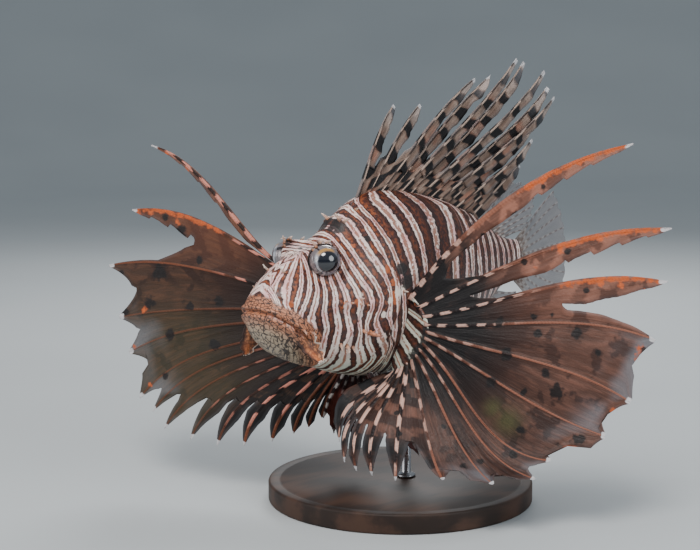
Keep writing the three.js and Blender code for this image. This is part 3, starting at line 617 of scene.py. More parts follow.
def skin_paint():
    p = Paint("lionfish_skin", Roughness=0.42, Specular_IOR_Level=0.5, Coat_Weight=0.12, Coat_Roughness=0.25)
    where = p.place()
    slow = p.noise(where, 0.12, 3)
    middle = p.noise(where, 0.45, 3)
    fine = p.noise(where, 1.6, 4, 0.6)
    # The distance from the middle of the nearest dark band, 0 to 0.5.
    sway = middle * 0.24 + (fine - 0.5) * 0.02 - 0.12
    from_band = p.math("PINGPONG", p.value("phase") + sway, 0.5)
    share = (slow - 0.5) * 0.16 + p.value("dark")
    band = p.ramp(from_band, share - 0.035, share + 0.035, 1, 0)
    core = p.ramp(from_band, share * 0.15, share * 0.95, 1, 0)
    line = p.ramp(from_band, 0.475 - p.value("thin"), 0.5 - p.value("thin")) * p.ramp(middle, 0.36, 0.46)
    pale = p.mix(p.ramp(slow, 0.38, 0.62), colour(236, 214, 205), colour(226, 178, 176))
    pale = p.mix(p.ramp(middle, 0.5, 0.75), pale, colour(246, 240, 232))
    pale = p.mix(p.value("belly"), pale, p.mix(slow, colour(150, 170, 152), colour(200, 208, 190)))
    warm = p.mix(p.ramp(middle, 0.40, 0.62), colour(66, 30, 23), colour(140, 72, 38))
    dark = p.mix(core * p.value("glow"), colour(34, 15, 14), warm)
    dark = p.mix(p.ramp(fine, 0.55, 0.8, 0, 0.35), dark, colour(110, 54, 36))
    skin = p.mix(line * 0.85, pale, p.mix(middle, colour(104, 52, 34), colour(158, 92, 56)))
    skin = p.mix(band, skin, dark)
    # Lips and lower jaw: tan above, greyer below, under a net of dark worm lines.
    run = p.vector(p.value("run") * 0.55, p.value("under") * 1.2 + middle * 2.4)
    net = p.ramp(p.cells(run, 0.62, "DISTANCE_TO_EDGE"), 0.05, 0.14, 1, 0)
    net = net * p.ramp(p.noise(where, 0.5, 1), 0.3, 0.45, 0.25, 0.95)
    tan = p.mix(middle, colour(150, 88, 58), colour(204, 138, 104))
    grey = p.mix(middle, colour(138, 118, 96), colour(186, 168, 144))
    skin = p.mix(p.value("lip"), skin, p.mix(net, p.mix(p.value("jaw"), tan, grey), colour(32, 17, 14)))
    skin = p.marked(skin, middle * 1.1 - 0.55, 0.62, (
        ("orange", colour(166, 84, 40), band * 0.75 + 0.2), ("white", colour(236, 222, 208), 0.85),
        ("black", colour(15, 9, 11), 0.95)))
    rough = p.ramp(fine, 0.3, 0.7, 0.36, 0.52) + p.value("black") * 0.25
    rise = fine * 0.8 + p.cells(where, 0.75, "F1") * p.value("scaly") - band * 0.12
    return p.finished(Base_Color=skin, Roughness=rough, Normal=p.bumps(rise, 0.22))


def eye_rims(points):
    """A dark line where the skin meets each eye, boldest in front and above."""
    rim = np.zeros(len(points))
    for way in (1, -1):
        r, _, ahead, across = about_eye(points, way)
        bold = 0.3 + 0.5 * step(unit(r) @ unit([0, -0.75, 0.65]), -0.1, 0.5)
        rim = np.maximum(rim, bold * bump(across - 9.5, 0.6) * (ahead > -6))
    return rim


def skin_values(skin):
    """What the skin's material reads at each vertex."""
    b, up = skin.behind, skin.up
    mouth = beside(MOUTH_LINE, b, up)
    phase = band_phase(skin)
    lip = step(mouth, -1.0, 0.2) * fade(mouth + 1.2 * wobble(b * 0.4, up * 0.4, 8), 6.5, 8.5)
    below = fade(mouth, -1.2, 0) * fade(b, 36, 44)
    lip = np.maximum(lip * fade(b, 29, 34), np.maximum(below, fade(b, 1.0, 2.5) * (up < -5)))
    cheek_low = step(-up, 18, 30) * step(b, 20, 40)
    dark = np.interp(phase, np.arange(len(DARK_SHARE)), DARK_SHARE)
    orange, black, pale = (
        find_marks(skin.points, skin.normals, spots, (1, -1))
        for spots in (ORANGE_PATCHES, BLACK_PATCHES, PALE_PATCHES))
    return dict(
        phase=phase, dark=dark * (1 - 0.35 * cheek_low * fade(b, 62, 76)),
        thin=0.055 + 0.035 * step(b, 50, 75),
        glow=(0.35 + 0.65 * step(up, -28, 12)) * (1 - 0.55 * step(b, 72, 100)),
        belly=np.maximum(0.85 * step(-up, 24, 42), 0.35 * cheek_low), lip=lip,
        jaw=fade(mouth, -9, -2) * fade(b, 36, 44), under=-mouth, run=b + 0.8 * np.abs(skin.side),
        scaly=0.25 + 0.75 * step(b, 60, 90), orange=0.9 * orange,
        black=np.maximum(black, eye_rims(skin.points)), white=pale)


skin = skin_grid()
fish_skin = skin_paint()
make_piece(
    "fish_skin", skin.points, skin.faces, skin_values(skin), fish_skin, "fish_skin",
    "head", "lower_jaw", "gill_cover_left", "gill_cover_right", "torso_front", "torso_rear", "tail_root")


# The fins

def ray_points(rays, v):
    """The middle lines of all rays at each v from root to tip, as rays by rows by 3."""
    v = v[None, :, None]
    length = rays["length"][:, None, None]
    bend = rays["bow"][:, None] * v * v * (1 - v) + rays["sag"][:, None] * v * (1 - v) ** 2
    return rays["root"][:, None] + length * (rays["direction"][:, None] * v + 6.75 * bend)


def fin_sheet(rays, web, vane, rows, half_columns, billow=0.03, ragged=None, notch=0.14, overlap=False):
    """One welded sheet over all rays: points, quads, half thickness, and where each point lies on the fin.

    web is how far up each pair of rays is joined, vane the width of the skin beside a ray, and overlap lets
    the vanes of neighbours pass each other.
    """
    count = len(rays["length"])
    v = 1 - (1 - np.linspace(0, 1, rows)) ** 1.25
    middle = ray_points(rays, v)
    heading = unit(ray_points(rays, np.minimum(1, v + 0.02)) - ray_points(rays, np.maximum(0, v - 0.02)))
    high = np.minimum(np.arange(count) + 1, count - 1)
    low = np.maximum(np.arange(count) - 1, 0)
    normal = unit(np.cross(unit(middle[high] - middle[low]), heading))
    sideways = unit(np.cross(heading, normal))
    taper = 1 - 0.8 * v ** 1.5
    radius = rays["radius"] * taper
    membrane = 0.2 * (0.45 + 0.55 * taper)
    join = [int(np.searchsorted(v, w, side="right")) - 1 if w > 0 else -1 for w in web]
    q = np.linspace(0, 1, half_columns + 1)
    f = q ** 1.6
    columns = 2 * half_columns + 1
    shape = (count, rows, columns)
    points, half = np.zeros(shape + (3,)), np.zeros(shape)
    rib, edge, fan = np.zeros(shape), np.zeros(shape), np.zeros(shape)
    index = np.arange(count * rows * columns).reshape(shape)
    for i in range(count):
        for way in (-1, 1):
            j = i + way
            inside = 0 <= j < count
            pair = min(i, j)
            toward = middle[j] - middle[i] if inside else sideways[i] * way
            apart = np.linalg.norm(toward, axis=1)
            toward = toward - heading[i] * np.sum(toward * heading[i], axis=1, keepdims=True)
            spacing = np.linalg.norm(toward, axis=1) if inside else np.full(rows, 1e3)
            toward = unit(toward * [0.2, 1, 1] if overlap else toward)
            flank = np.minimum(radius * 1.25, spacing * 0.3)
            mine = vane(i, way, v)
            other = np.maximum(flank, vane(j, -way, v)) if inside else 0
            most = 1e3 if overlap else (spacing - 0.5) * mine / (mine + other + 0.01)
            width = np.maximum(flank + 0.2 * taper + 0.12, np.minimum(mine, most))
            if ragged is not None:
                width = np.maximum(flank + 0.2, width * (1 - ragged(i, way, v)))
            if inside and join[pair] >= 0:
                # The joined skin ends in a rounded notch.
                past = np.clip((v - web[pair]) / min(notch, 1.01 - web[pair]), 0, 1) ** 0.6
                width = np.maximum(width, (spacing / 2 - 0.25) * (1 - past))
            outer = middle[i] + toward * width[:, None]
            out_normal = normal[i].copy()
            free = np.ones(rows, bool)
            if inside and join[pair] >= 0:
                free = np.arange(rows) > join[pair]
                outer = np.where(free[:, None], outer, (middle[i] + middle[j]) / 2)
                out_normal = np.where(free[:, None], normal[i], unit(normal[i] + normal[j]))
            reach = np.linalg.norm(outer - middle[i], axis=1)
            swell = np.where(free, width * 2, apart) * billow * np.sin(np.pi * np.minimum(1, v * 1.1)) ** 0.5
            for k in range(half_columns + 1):
                c = half_columns + way * k
                n = unit(normal[i] * (1 - f[k]) + out_normal * f[k])
                points[i, :, c] = middle[i] + (outer - middle[i]) * f[k] + n * (swell * q[k] ** 2)[:, None]
                d = f[k] * reach
                ridge = radius * np.sqrt(np.maximum(0, 1 - (d / np.maximum(flank, 1e-3)) ** 2))
                half[i, :, c] = np.maximum(membrane, ridge)
                rib[i, :, c] = d
                edge[i, :, c] = np.where(free, reach - d, 9)
                fan[i, :, c] = i + 0.5 * way * q[k]
        if i + 1 < count and join[i] >= 0:
            index[i + 1, :join[i] + 1, 0] = index[i, :join[i] + 1, -1]
    a, b = index[:, :-1, :-1], index[:, :-1, 1:]
    c, d = index[:, 1:, 1:], index[:, 1:, :-1]
    quads = np.stack([a, b, c, d], -1).reshape(-1, 4)
    used, quads = np.unique(quads, return_inverse=True)
    quads = quads.reshape(-1, 4)
    each = np.broadcast_to(np.arange(count)[:, None, None], shape).ravel()[used]
    where = dict(
        ray=each, v=np.broadcast_to(v[None, :, None], shape).ravel()[used], rib=rib.ravel()[used],
        edge=edge.ravel()[used], fan=fan.ravel()[used])
    where["reach"] = where["v"] * rays["length"][each]
    return points.reshape(-1, 3)[used], quads, half.ravel()[used], where


# The strength of the marks on the fins.
MARK_STRENGTH = dict(black=0.9, orange=0.66, white=1, green=1)
# Each kind of fin: its dark, middle and light skin, its ridges, and the pale and the dark dashes on them.
FIN_TONES = dict(
    left=[(9, 6, 8), (56, 38, 32), (140, 94, 78), (142, 88, 68), (204, 162, 146), (26, 14, 15)],
    right=[(8, 6, 7), (40, 29, 21), (116, 74, 50), (112, 62, 40), (214, 138, 120), (24, 12, 12)],
    dorsal=[(14, 10, 12), (98, 76, 64), (168, 146, 132), (158, 98, 76), (190, 164, 148), (26, 17, 18)],
    soft=[(60, 48, 46), (120, 108, 102), (176, 166, 158), (150, 120, 104), (176, 168, 164), (110, 84, 72)],
    pelvic=[(26, 16, 18), (84, 42, 40), (170, 92, 80), (150, 70, 52), (206, 196, 190), (40, 24, 24)])
FIN_BLOTCHES = dict(left=0.9, right=0.95, dorsal=0.55, soft=0.2, pelvic=0.55)
SPINE_SUNK, SOFT_SUNK = 4, 3  # how far the roots of the rays reach into the body
DORSAL_WEB = 24  # how far up the skin joins the spines of the back


def fin_piece(name, material, nodes, sheet, looks, marks=None):
    """A fin from its sheet, with looks(where) at its vertices and marks at points of the photograph."""
    points, quads, half, where = sheet
    values = dict(rib=where["rib"], reach=where["reach"], fan=where["fan"], **looks(where))
    facing = vertex_normals(points, quads)
    turned = np.sign(np.einsum("ij,ij->i", facing, camera_place - points))[:, None]
    for key, strength in MARK_STRENGTH.items():
        found = find_marks(points, facing * turned, (marks or {}).get(key, []))
        values[key] = np.maximum(values.get(key, 0), strength * found)
    make_sheet(name, points, quads, half, values, material, "fin_skin", *nodes)


def fin_paint(name):
    """Fin skin: a dark root, blotched blades, ridged rays with pale dashes, and a clear grey margin."""
    dark, mid, light, ridge, dash_pale, dash_dark = (colour(*tone) for tone in FIN_TONES[name])
    p = Paint(
        name + "_fin_skin", Roughness=0.55, Specular_IOR_Level=0.28, Coat_Weight=0.04, Coat_Roughness=0.4)
    where = p.place()
    fan, reach, wide = p.value("fan"), p.value("reach"), p.value("wide")
    streak = p.noise(p.vector(fan * 11, reach * 0.05), 1.0, 3, 0.6)
    cloud = p.noise(p.vector(fan * 2.2, reach * 0.06), 1.0, 3)
    patchy = p.noise(where, 0.09, 3)
    grain = p.noise(where, 0.9, 3, 0.6)
    blade = p.value("blade") + (cloud * 0.7 - 0.35)
    skin = p.mix(p.ramp(blade, 0.02, 0.42), dark, mid)
    skin = p.mix(p.ramp(blade, 0.4, 0.95), skin, light)
    skin = p.mix(p.ramp(streak, 0.4, 0.7, 0, 0.28) * p.ramp(blade, 0.0, 0.4), skin, light)
    skin = p.mix(p.ramp(grain, 0.5, 0.8) * 0.2, skin, dark)
    skin = p.mix(p.ramp(patchy, 0.53, 0.62) * FIN_BLOTCHES[name] * p.value("blotchy"), skin, dark)
    skin = p.mix(p.value("warm"), skin, ridge)
    skin = p.mix(p.value("green"), skin, p.mix(grain, colour(38, 40, 24), colour(84, 78, 46)))
    skin = p.mix(p.value("clear"), skin, p.mix(grain, colour(112, 116, 124), colour(150, 152, 158)))
    # Dashes along the rays.
    dash = p.ramp(p.math("PINGPONG", cloud * 0.9 + p.value("dash"), 0.5), 0.2, 0.31)
    on_ray = p.ramp(p.value("rib"), wide * 0.7, wide * 1.25, 1, 0)
    line = p.mix(p.value("dashed"), ridge, p.mix(dash, dash_dark, dash_pale))
    skin = p.mix(on_ray * p.value("rayed"), skin, line)
    skin = p.marked(skin, p.noise(where, 0.3, 2) - 0.5, 0.66, (
        ("orange", colour(190, 88, 40), 0.94), ("black", colour(13, 9, 11), 0.94),
        ("white", colour(206, 204, 206), 0.94)))
    # Cross lines on the rays, and streaks on the skin between them.
    rise = p.math("SINE", reach * 3.2) * on_ray * 0.25 + (streak * 1.6 + grain * 0.5)
    return p.finished(
        Base_Color=skin, Alpha=p.ramp(p.value("clear"), 0.1, 0.8, 1.0, 0.72),
        Roughness=p.ramp(grain, 0.3, 0.7, 0.45, 0.65), Normal=p.bumps(rise, 0.3))


def pick(values, where):
    """A value for each ray, evened out between rays that are joined."""
    return np.interp(where["fan"], np.arange(len(values)), values)


def fin_rays(root, direction, length, bow, radius, sag=0):
    """What fin_sheet needs of a fin's rays."""
    return dict(root=root, direction=direction, length=np.array(length, float), bow=bow, sag=sag + 0 * bow,
                radius=radius)


# The pectoral fins

def pectoral_root(share, side, inward=0.0):
    """The line that the rays grow from, from share 0 at the top, or places that far inward from it."""
    down = 1 - (1 - share) ** 1.6
    out = LOBE["side"] - LOBE["tuck"] * down ** 3 + LOBE["reach"] * np.sin(np.pi * down ** 0.9)
    up = LOBE["top"] - LOBE["height"] * down
    to_axis = inward / np.hypot(out, up)
    return place(side * out * (1 - to_axis), LOBE["behind"] - 4 * down ** 3, up * (1 - to_axis))


def ray_direction(rise, sweep, side):
    rise, sweep = np.radians(rise), np.radians(sweep)
    return np.stack([side * np.cos(rise) * np.cos(sweep), np.cos(rise) * np.sin(sweep), np.sin(rise)], -1)


def pectoral_rays(data):
    rise, sweep, bow = (np.array(data[key], float) for key in ("rise", "sweep", "bow"))
    side = data["side"]
    direction = ray_direction(rise, sweep, side)
    over = ray_direction(rise + 90, sweep, side)
    root = pectoral_root(shares(len(rise)), side) - 2 * direction
    sag = np.zeros(len(rise))
    sag[:len(data["sag"])] = data["sag"]
    return fin_rays(root, direction, data["length"], over * bow[:, None], 1.05, over * sag[:, None])


def pectoral_vane(data):
    def vane(i, way, v):
        upper = i < 3
        widest = (data["vane"][i] * 1.12 if way > 0 else 1.5) if upper else 9
        return (widest * np.minimum(1, 0.25 + 1.3 * v) + 0.3) * (1 - v ** (6 if upper else 4)) + 0.2
    return vane


def pectoral_ragged(i, way, v):
    """Torn notches in the free edge behind the uppermost rays, and small waves elsewhere."""
    wave = 0.05 * (1 + wobble(v * 26 + i * 3, v * 9, 11 + i))
    if i > 2 or way < 0:
        return wave
    tooth = (v * 9.5 + 0.3 * i) % 1
    return wave + between(v, 0.5, 0.62, 0.9, 0.97) * (0.1 + 0.22 * tooth * (i < 2))


# For each ray of the pectoral fins: the skin's tone, where the dashes end and the dark root ends, how warm
# it is and where the white tip starts. Then lengths of dashes, and the orange edge's middle and width.
LEFT_LOOKS = dict(
    blade=[.95, .82, .76, .44, .44, .42, .30, .22, .20, .32, .28, .24, .20, .18, .15],
    dashed_until=[.30, .36, .46, .36, .26, .30, .14, .36, .3, .72, .95, .95, .95, .95, .95],
    dark_until=[.16, .30, .46, .50, .52, .52, .48, .44, .40, .36, .34, .34, .34, .34, .36],
    warm=[.4, .3, .3, .12, .1, .08, .05, .05, .05, .10, .12, .1, .08, .05, .0],
    tip=[.985, .97, .975, .985, .985, .988, .988, .988, .988, .985, .98, .98, .975, .975, .975],
    dash_length=[10, 11, 11, 17], ridged=.8, edged=(0, 2.4), draws=21, olive=0)
RIGHT_LOOKS = dict(
    blade=[.75, .55, .36, .34, .34, .34, .32, .26, .14, .08, .06, .05, .0, -.1, -.1],
    dashed_until=[1, .62, .45, .35, .35, .35, .35, .5, .8, .85, .85, .8, .3, .1, .1],
    dark_until=[.05, .34, .5, .56, .58, .58, .58, .6, .6, .62, .64, .7, .8, .95, 1.1],
    warm=[.3, .5, .15, .08, .06, .06, .06, .08, .05, .03, .03, .02, 0, 0, 0],
    tip=[.985, .99, .985, .985, .985, .985, .985, .985, .98, .98, .98, .985, .99, 1.1, 1.1],
    dash_length=[15, 15, 14, 17], ridged=.5, edged=(1, .45), draws=22, olive=.32)
# Marks on the pectoral fins at points of the photograph, each with its radius in millimetres.
LEFT_MARKS = dict(
    black=[(543, 186, 2.2), (515, 216, 2.2), (486, 240, 2.0), (473, 261, 2.0), (470, 274, 3.0), (586, 292, 2.6),
           (568, 251, 2.2), (524, 262, 2.4), (533, 316, 2.2), (500, 322, 3.5), (577, 333, 4.4),
           (598, 352, 2.4),
           (537, 335, 3.4), (507, 354, 4.4), (545, 374, 3.4), (557, 390, 5.0), (524, 393, 2.4),
           (519, 432, 2.6),
           (580, 441, 5.0), (490, 383, 4.0), (396, 412, 1.8), (400, 434, 1.8), (444, 426, 1.8),
           (513, 455, 3.0),
           (480, 462, 2.6), (465, 465, 2.4), (643, 351, 2.6), (552, 316, 2.0)],
    orange=[(582, 158, 3.2), (560, 170, 2.4), (542, 181, 3.0), (610, 143, 4.0), (628, 141, 3.0), (560, 250, 2.6),
            (600, 238, 3.4), (614, 415, 2.6), (640, 349, 4.0), (636, 357, 2.6), (570, 455, 1.8),
            (600, 283, 4.0),
            (620, 285, 3.0), (535, 268, 2.0), (645, 300, 1.0)],
    white=[(637, 143, 1.4), (659, 340, 1.8), (633, 404, 1.6), (609, 437, 1.6), (668, 284, 2.4)],
    green=[(508, 420, 7), (494, 408, 5)])
RIGHT_MARKS = dict(
    black=[(165, 216, 3.0), (180, 232, 5.0), (120, 275, 2.5), (160, 272, 6.0), (150, 300, 4.5), (190, 306, 3.5),
           (215, 345, 4.5), (125, 312, 3.0), (170, 335, 4.5), (165, 375, 3.0), (220, 300, 4.0),
           (200, 260, 3.5)],
    orange=[(140, 211, 5.0), (152, 212, 4.0), (178, 222, 3.0), (135, 345, 2.5), (150, 385, 2.5), (145, 310, 3.0),
            (160, 160, 2.5), (185, 170, 2.0)],
    white=[(155, 147, 2.2)])


def pectoral_looks(table):
    start = np.random.default_rng(table["draws"]).uniform(0, 1, 15)

    def looks(where):
        v, fan, reach, rib = (where[key] for key in ("v", "fan", "reach", "rib"))
        dark_until, dashed_until, tip = (
            pick(table[key], where) for key in ("dark_until", "dashed_until", "tip"))
        rooted = fade(v, dark_until - 0.14, dark_until + 0.16)
        margin = step(v, 0.74, 0.97) * (fan > 2.6) * (fan < 9.2)
        thin = fade(where["edge"], 0.2, 2.4) * step(v, 0.4, 0.7)
        tips = step(v, tip - 0.02, tip) * fade(np.abs(rib), 1.2, 2.6)
        fingers = step(fan, 8.6, 9.6)
        maroon = fingers * bump(v - 0.8, 0.12)
        # The free upper rays: slanting dark bars, and an orange front edge towards the tip.
        slant = reach / 22 + 0.045 * rib + 0.4 * where["ray"]
        bars = step(np.sin(2 * np.pi * slant), 0.1, 0.7) * fade(v, 0.72, 0.9) * fade(fan, 2.2, 2.6)
        edged = np.abs(fan - table["edged"][0]) < table["edged"][1]
        # The lowest rays: dark bars between their dashes, across the skin too.
        dash = reach / np.interp(where["ray"], [0, 3, 8, 12], table["dash_length"]) + start[where["ray"]]
        bars = bars + fingers * (1.2 - 1.8 * step(np.abs(dash - np.round(dash)), 0.12, 0.3))
        cloudy = step(wobble(fan * 2.3, v * 9, table["draws"]), -0.2, 0.8)
        upper = np.where(fan < 2.4, 0.9 - 0.6 * step(v, 0.4, 0.6) * edged, table["ridged"])
        return dict(
            blade=pick(table["blade"], where) * (1 - 0.95 * rooted) - 0.45 * maroon - 0.5 * bars,
            orange=0.62 * bump(rib, 2.6) * step(v, 0.5, 0.6) * edged, dash=dash,
            dashed=(0.62 + 0.38 * np.maximum(fingers, fan < 3.5)) * (
                fade(v, dashed_until - 0.1, dashed_until + 0.1)),
            warm=pick(table["warm"], where) * step(v, 0.2, 0.5) * (1 - maroon),
            clear=np.maximum(0.5 * margin * cloudy, 0.12 * thin), rayed=np.maximum(upper, fingers),
            wide=(0.95 + 0.7 * np.maximum(fingers, fan < 0.5)) * (1 - 0.5 * v), white=0.75 * tips,
            blotchy=1.0,
            green=table["olive"] * between(fan, 2, 4, 7.5, 9) * step(v, 0.35, 0.7))
    return looks


for name, table, marks in (("left", LEFT_LOOKS, LEFT_MARKS), ("right", RIGHT_LOOKS, RIGHT_MARKS)):
    data = PECTORAL[name]
    sheet = fin_sheet(pectoral_rays(data), data["web"], pectoral_vane(data), 110, 7, 0.035, pectoral_ragged)
    nodes = [f"pectoral_{part}_{name}" for part in ("top_ray", "upper", "fan", "lower")]
    fin_piece("pectoral_fin_" + name, fin_paint(name), nodes, sheet, pectoral_looks(table), marks)


# The spiny fin on the back

def dorsal_rays():
    behind = np.linspace(SPINE_FIRST, SPINE_LAST, len(SPINE_LENGTHS))
    lean, splay = np.radians(SPINE_LEANS), np.radians(SPINE_SPLAYS)
    direction = unit(np.stack([np.sin(splay), np.sin(lean), np.cos(lean)], -1))
    back = np.stack([0 * lean, -np.cos(lean), np.sin(lean)], -1)
    root = place(0, behind, smooth(BACK_LINE, behind) - SPINE_SUNK)
    length = np.array(SPINE_LENGTHS) + SPINE_SUNK
    return fin_rays(root, direction, length, back * np.array(SPINE_BOWS)[:, None] / 100, 1.15)


def dorsal_vane(i, way, v):
    return 0.3 + (way > 0) * step(v, 0.04, 0.12) * 6.5 * np.minimum(1, 5 * (1.06 - v))


def dorsal_ragged(i, way, v):
    return (way > 0) * (0.12 + 0.16 * wobble(v * 16 + 5 * i, 3 * v, 31) * step(v, 0.25, 0.4))


def dorsal_looks(where):
    v, reach, ray = where["v"], where["reach"], where["ray"]
    phase = reach / 21 + 0.37 * ray + 0.12 * wobble(where["rib"] * 0.2, reach * 0.1 + ray, 41)
    pale = step(np.abs(phase - np.round(phase)), 0.13, 0.25)
    rooted = fade(reach, 2, 9)
    flush = wobble(reach * 0.11 + 3 * ray, where["rib"] * 0.3, 43)
    thin = fade(where["edge"], 0.3, 2.2)
    return dict(
        blade=(-0.2 + 0.75 * pale) * (1 - rooted) - 0.1 * rooted + 0.35 * step(v, 0.7, 0.95),
        dash=phase + 0.03, dashed=1.0, warm=0.45 * pale * step(flush, 0.1, 0.8) * fade(v, 0.7, 0.9), blotchy=0.7,
        clear=np.maximum(0.3 * thin * pale, 0.35 * step(v, 0.75, 1)), rayed=0.8, wide=0.85 * (1 - 0.4 * v),
        white=0.7 * step(v, 0.955, 0.985))


rays = dorsal_rays()
joined = DORSAL_WEB / np.minimum(rays["length"][1:], rays["length"][:-1])
sheet = fin_sheet(rays, joined, dorsal_vane, 110, 6, 0.03, dorsal_ragged, notch=0.1, overlap=True)
fin_piece("dorsal_fin_front", fin_paint("dorsal"), ["dorsal_fin_spiny"], sheet, dorsal_looks)


# The soft fins: on the back, under the tail, the tail fin and the pelvic fins

def median_rays(data, outline, up):
    share = shares(data["rays"])
    behind = data["start"] + (data["end"] - data["start"]) * share
    lean = np.radians(data["leans"][0] + (data["leans"][1] - data["leans"][0]) * share)
    direction = unit(np.stack([0 * lean - 0.12, np.sin(lean), up * np.cos(lean)], -1))
    root = place(0, behind, smooth(outline, behind) - up * SOFT_SUNK)
    bow = np.tile([0, 0, 0.02 * up], (len(share), 1))
    return fin_rays(root, direction, along(data["lengths"], share) + SOFT_SUNK, bow, 0.75)


def caudal_rays():
    share = shares(CAUDAL["rays"])
    angle = np.radians((0.5 - share) * CAUDAL["spread"])[:, None]
    direction = unit([-0.22, 1, -0.08]) * np.cos(angle) + np.array([0, 0, 1]) * np.sin(angle)
    root = place(0, STANDARD_LENGTH, 13 - 25.4 * share) - 2 * direction
    bow = np.tile([-0.02, 0, 0], (len(share), 1))
    return fin_rays(root, direction, along(CAUDAL["lengths"], share), bow, 0.85)


def pelvic_rays(name, side):
    share = shares(PELVIC["rays"])
    behind = PELVIC["behind"] + 9 * share
    spread = side * PELVIC["spread"][name] * (1 - 0.6 * share)
    direction = unit(np.stack([spread, 0.1 + 0.75 * share, 0 * share - 0.82], -1))
    root = place(side * (PELVIC["side"] - 2 * share), behind, smooth(BELLY_LINE, behind) + 5)
    bow = np.tile([side * 0.03, -0.02, 0], (len(share), 1))
    return fin_rays(root, direction, PELVIC["lengths"], bow, 0.95)


def soft_looks(where):
    """Clear grey fins with rows of small brown dots on the rays."""
    v = where["v"]
    return dict(
        blade=0.75 - 0.4 * fade(v, 0.05, 0.3), dash=where["reach"] / 7.5 + 0.35 * (where["ray"] % 2),
        dashed=1.0, warm=0.0, clear=0.7 * step(v, 0.1, 0.35), rayed=0.6, wide=1 - 0.5 * v, blotchy=0.3,
        white=0.3 * step(v, 0.95, 1))


def pelvic_looks(where):
    v, reach = where["v"], where["reach"]
    front = where["fan"] < 0.35
    return dict(
        blade=0.1 + 0.55 * step(wobble(reach * 0.16, where["fan"] * 1.3, 51), 0.1, 0.7) * step(v, 0.12, 0.3),
        dash=reach / 8.5 + 0.3 * where["ray"], dashed=1.0, warm=0.25 * step(v, 0.2, 0.6), clear=0.0,
        rayed=np.where(front, 0.95, 0.4), wide=np.where(front, 1.5, 0.9), blotchy=1.0,
        white=0.6 * step(v, 0.96, 1))


def short_vane(widest):
    return lambda i, way, v: widest * (1 - v)


def soft_fin(name, material, node, rays, joined, widest, columns, billow, looks):
    sheet = fin_sheet(rays, [joined] * (len(rays["length"]) - 1), short_vane(widest), 70, columns, billow)
    fin_piece(name, material, [node], sheet, looks)


soft_skin, pelvic_skin = fin_paint("soft"), fin_paint("pelvic")
for name, node, rays, joined, widest in (
        ("dorsal_fin_rear", "dorsal_fin_soft", median_rays(SOFT_DORSAL, BACK_LINE, 1), 0.97, 2.2),
        ("anal_fin_skin", "anal_fin", median_rays(ANAL, BELLY_LINE, -1), 0.97, 2.2),
        ("tail_fin_skin", "tail_fin", caudal_rays(), 0.985, 2.5)):
    soft_fin(name, soft_skin, node, rays, joined, widest, 5, 0.03, soft_looks)
for name, side in (("left", 1), ("right", -1)):
    rays = pelvic_rays(name, side)
    soft_fin("pelvic_skin_" + name, pelvic_skin, "pelvic_fin_" + name, rays, 0.86, 3.5, 6, 0.05, pelvic_looks)


# The roots of the pectoral fins

def pectoral_lobe(side):
    """The fleshy root: a sheet, its quads and half thickness, the share down it and the depth inward."""
    columns, rows = 90, 36
    share, depth = cross(shares(columns), shares(rows))
    sheet = pectoral_root(share, side, depth * ROOT_DEPTH)
    sheet[:, 2] += (0.5 - share) * 3
    sheet[:, 1] += depth * 4
    blunt = np.sqrt(np.clip(1 - (2 * share - 1) ** 4, 0.02, 1))
    blunt = blunt * np.sqrt(1 - (1 - np.minimum(1, depth / 0.16)) ** 2)
    half = 0.5 + (1.1 + 3.4 * depth) * blunt
    half += 0.35 * np.sin(share * 14 * 2 * np.pi) * (1 - depth) ** 2 * blunt
    return sheet, grid_faces(columns, rows, closed=False), half, share, depth


for name, side in (("left", 1), ("right", -1)):
    sheet, quads, half, share, depth = pectoral_lobe(side)
    values = dict(
        phase=share * 5.2 + 0.42 + 0.5 * depth * (0.4 - share), dark=0.30 - 0.06 * share, thin=0.04,
        glow=0.5 * (1 - depth), belly=0.75, lip=0, jaw=0, under=0, run=0, scaly=0.8,
        orange=0.35 * bump(depth - 0.12, 0.1) * (share < 0.25), white=0,
        black=0.85 * fade(depth, 0.02, 0.3) * between(share, 0.18, 0.3, 0.6, 0.75))
    make_sheet("pectoral_root_" + name, sheet, quads, half, values, fish_skin, "fish_skin",
               "pectoral_base_" + name)


# The eyes

def eye_paint():
    """A dark pupil in a silver iris with a painted highlight towards its front, a gold arc over it, and a
    mottled ring round both.
    """
    p = Paint("eye_surface", Roughness=0.12, Specular_IOR_Level=0.6, Coat_Weight=1.0, Coat_Roughness=0.03)
    polar, turn = p.value("polar"), p.value("round")
    cloud = p.noise(p.place(), 0.35, 3)
    ray = p.noise(p.vector(turn * 5, polar * 0.04), 1.0, 3)
    silver = p.mix(cloud, colour(62, 60, 70), colour(116, 114, 124))
    # Painted highlight: the silver is painted lighter where the "light" value is high, towards the front of the
    # eye.
    silver = p.mix(p.value("light"), silver, p.mix(cloud, colour(128, 132, 144), colour(206, 208, 214)))
    silver = p.mix(p.ramp(ray, 0.5, 0.7, 0, 0.5), silver, colour(70, 66, 72))
    silver = p.mix(p.value("gold"), silver, colour(176, 128, 58))
    outer = p.mix(cloud, colour(66, 60, 62), colour(138, 128, 130))
    bars = p.noise(p.vector(turn * 2.6, 0.0), 1.0, 1)
    outer = p.mix(p.ramp(bars, 0.56, 0.6), outer, colour(28, 20, 24))
    eye = p.mix(p.ramp(polar, 50, 60), silver, outer)
    eye = p.mix(p.value("line") * 0.9, eye, colour(20, 16, 20))
    eye = p.mix(p.ramp(polar, PUPIL, 44.0, 1, 0), eye, colour(26, 26, 34))
    eye = p.mix(p.ramp(polar, PUPIL - 1, PUPIL + 0.1, 1, 0), eye, colour(9, 13, 24))
    return p.finished(Base_Color=eye)


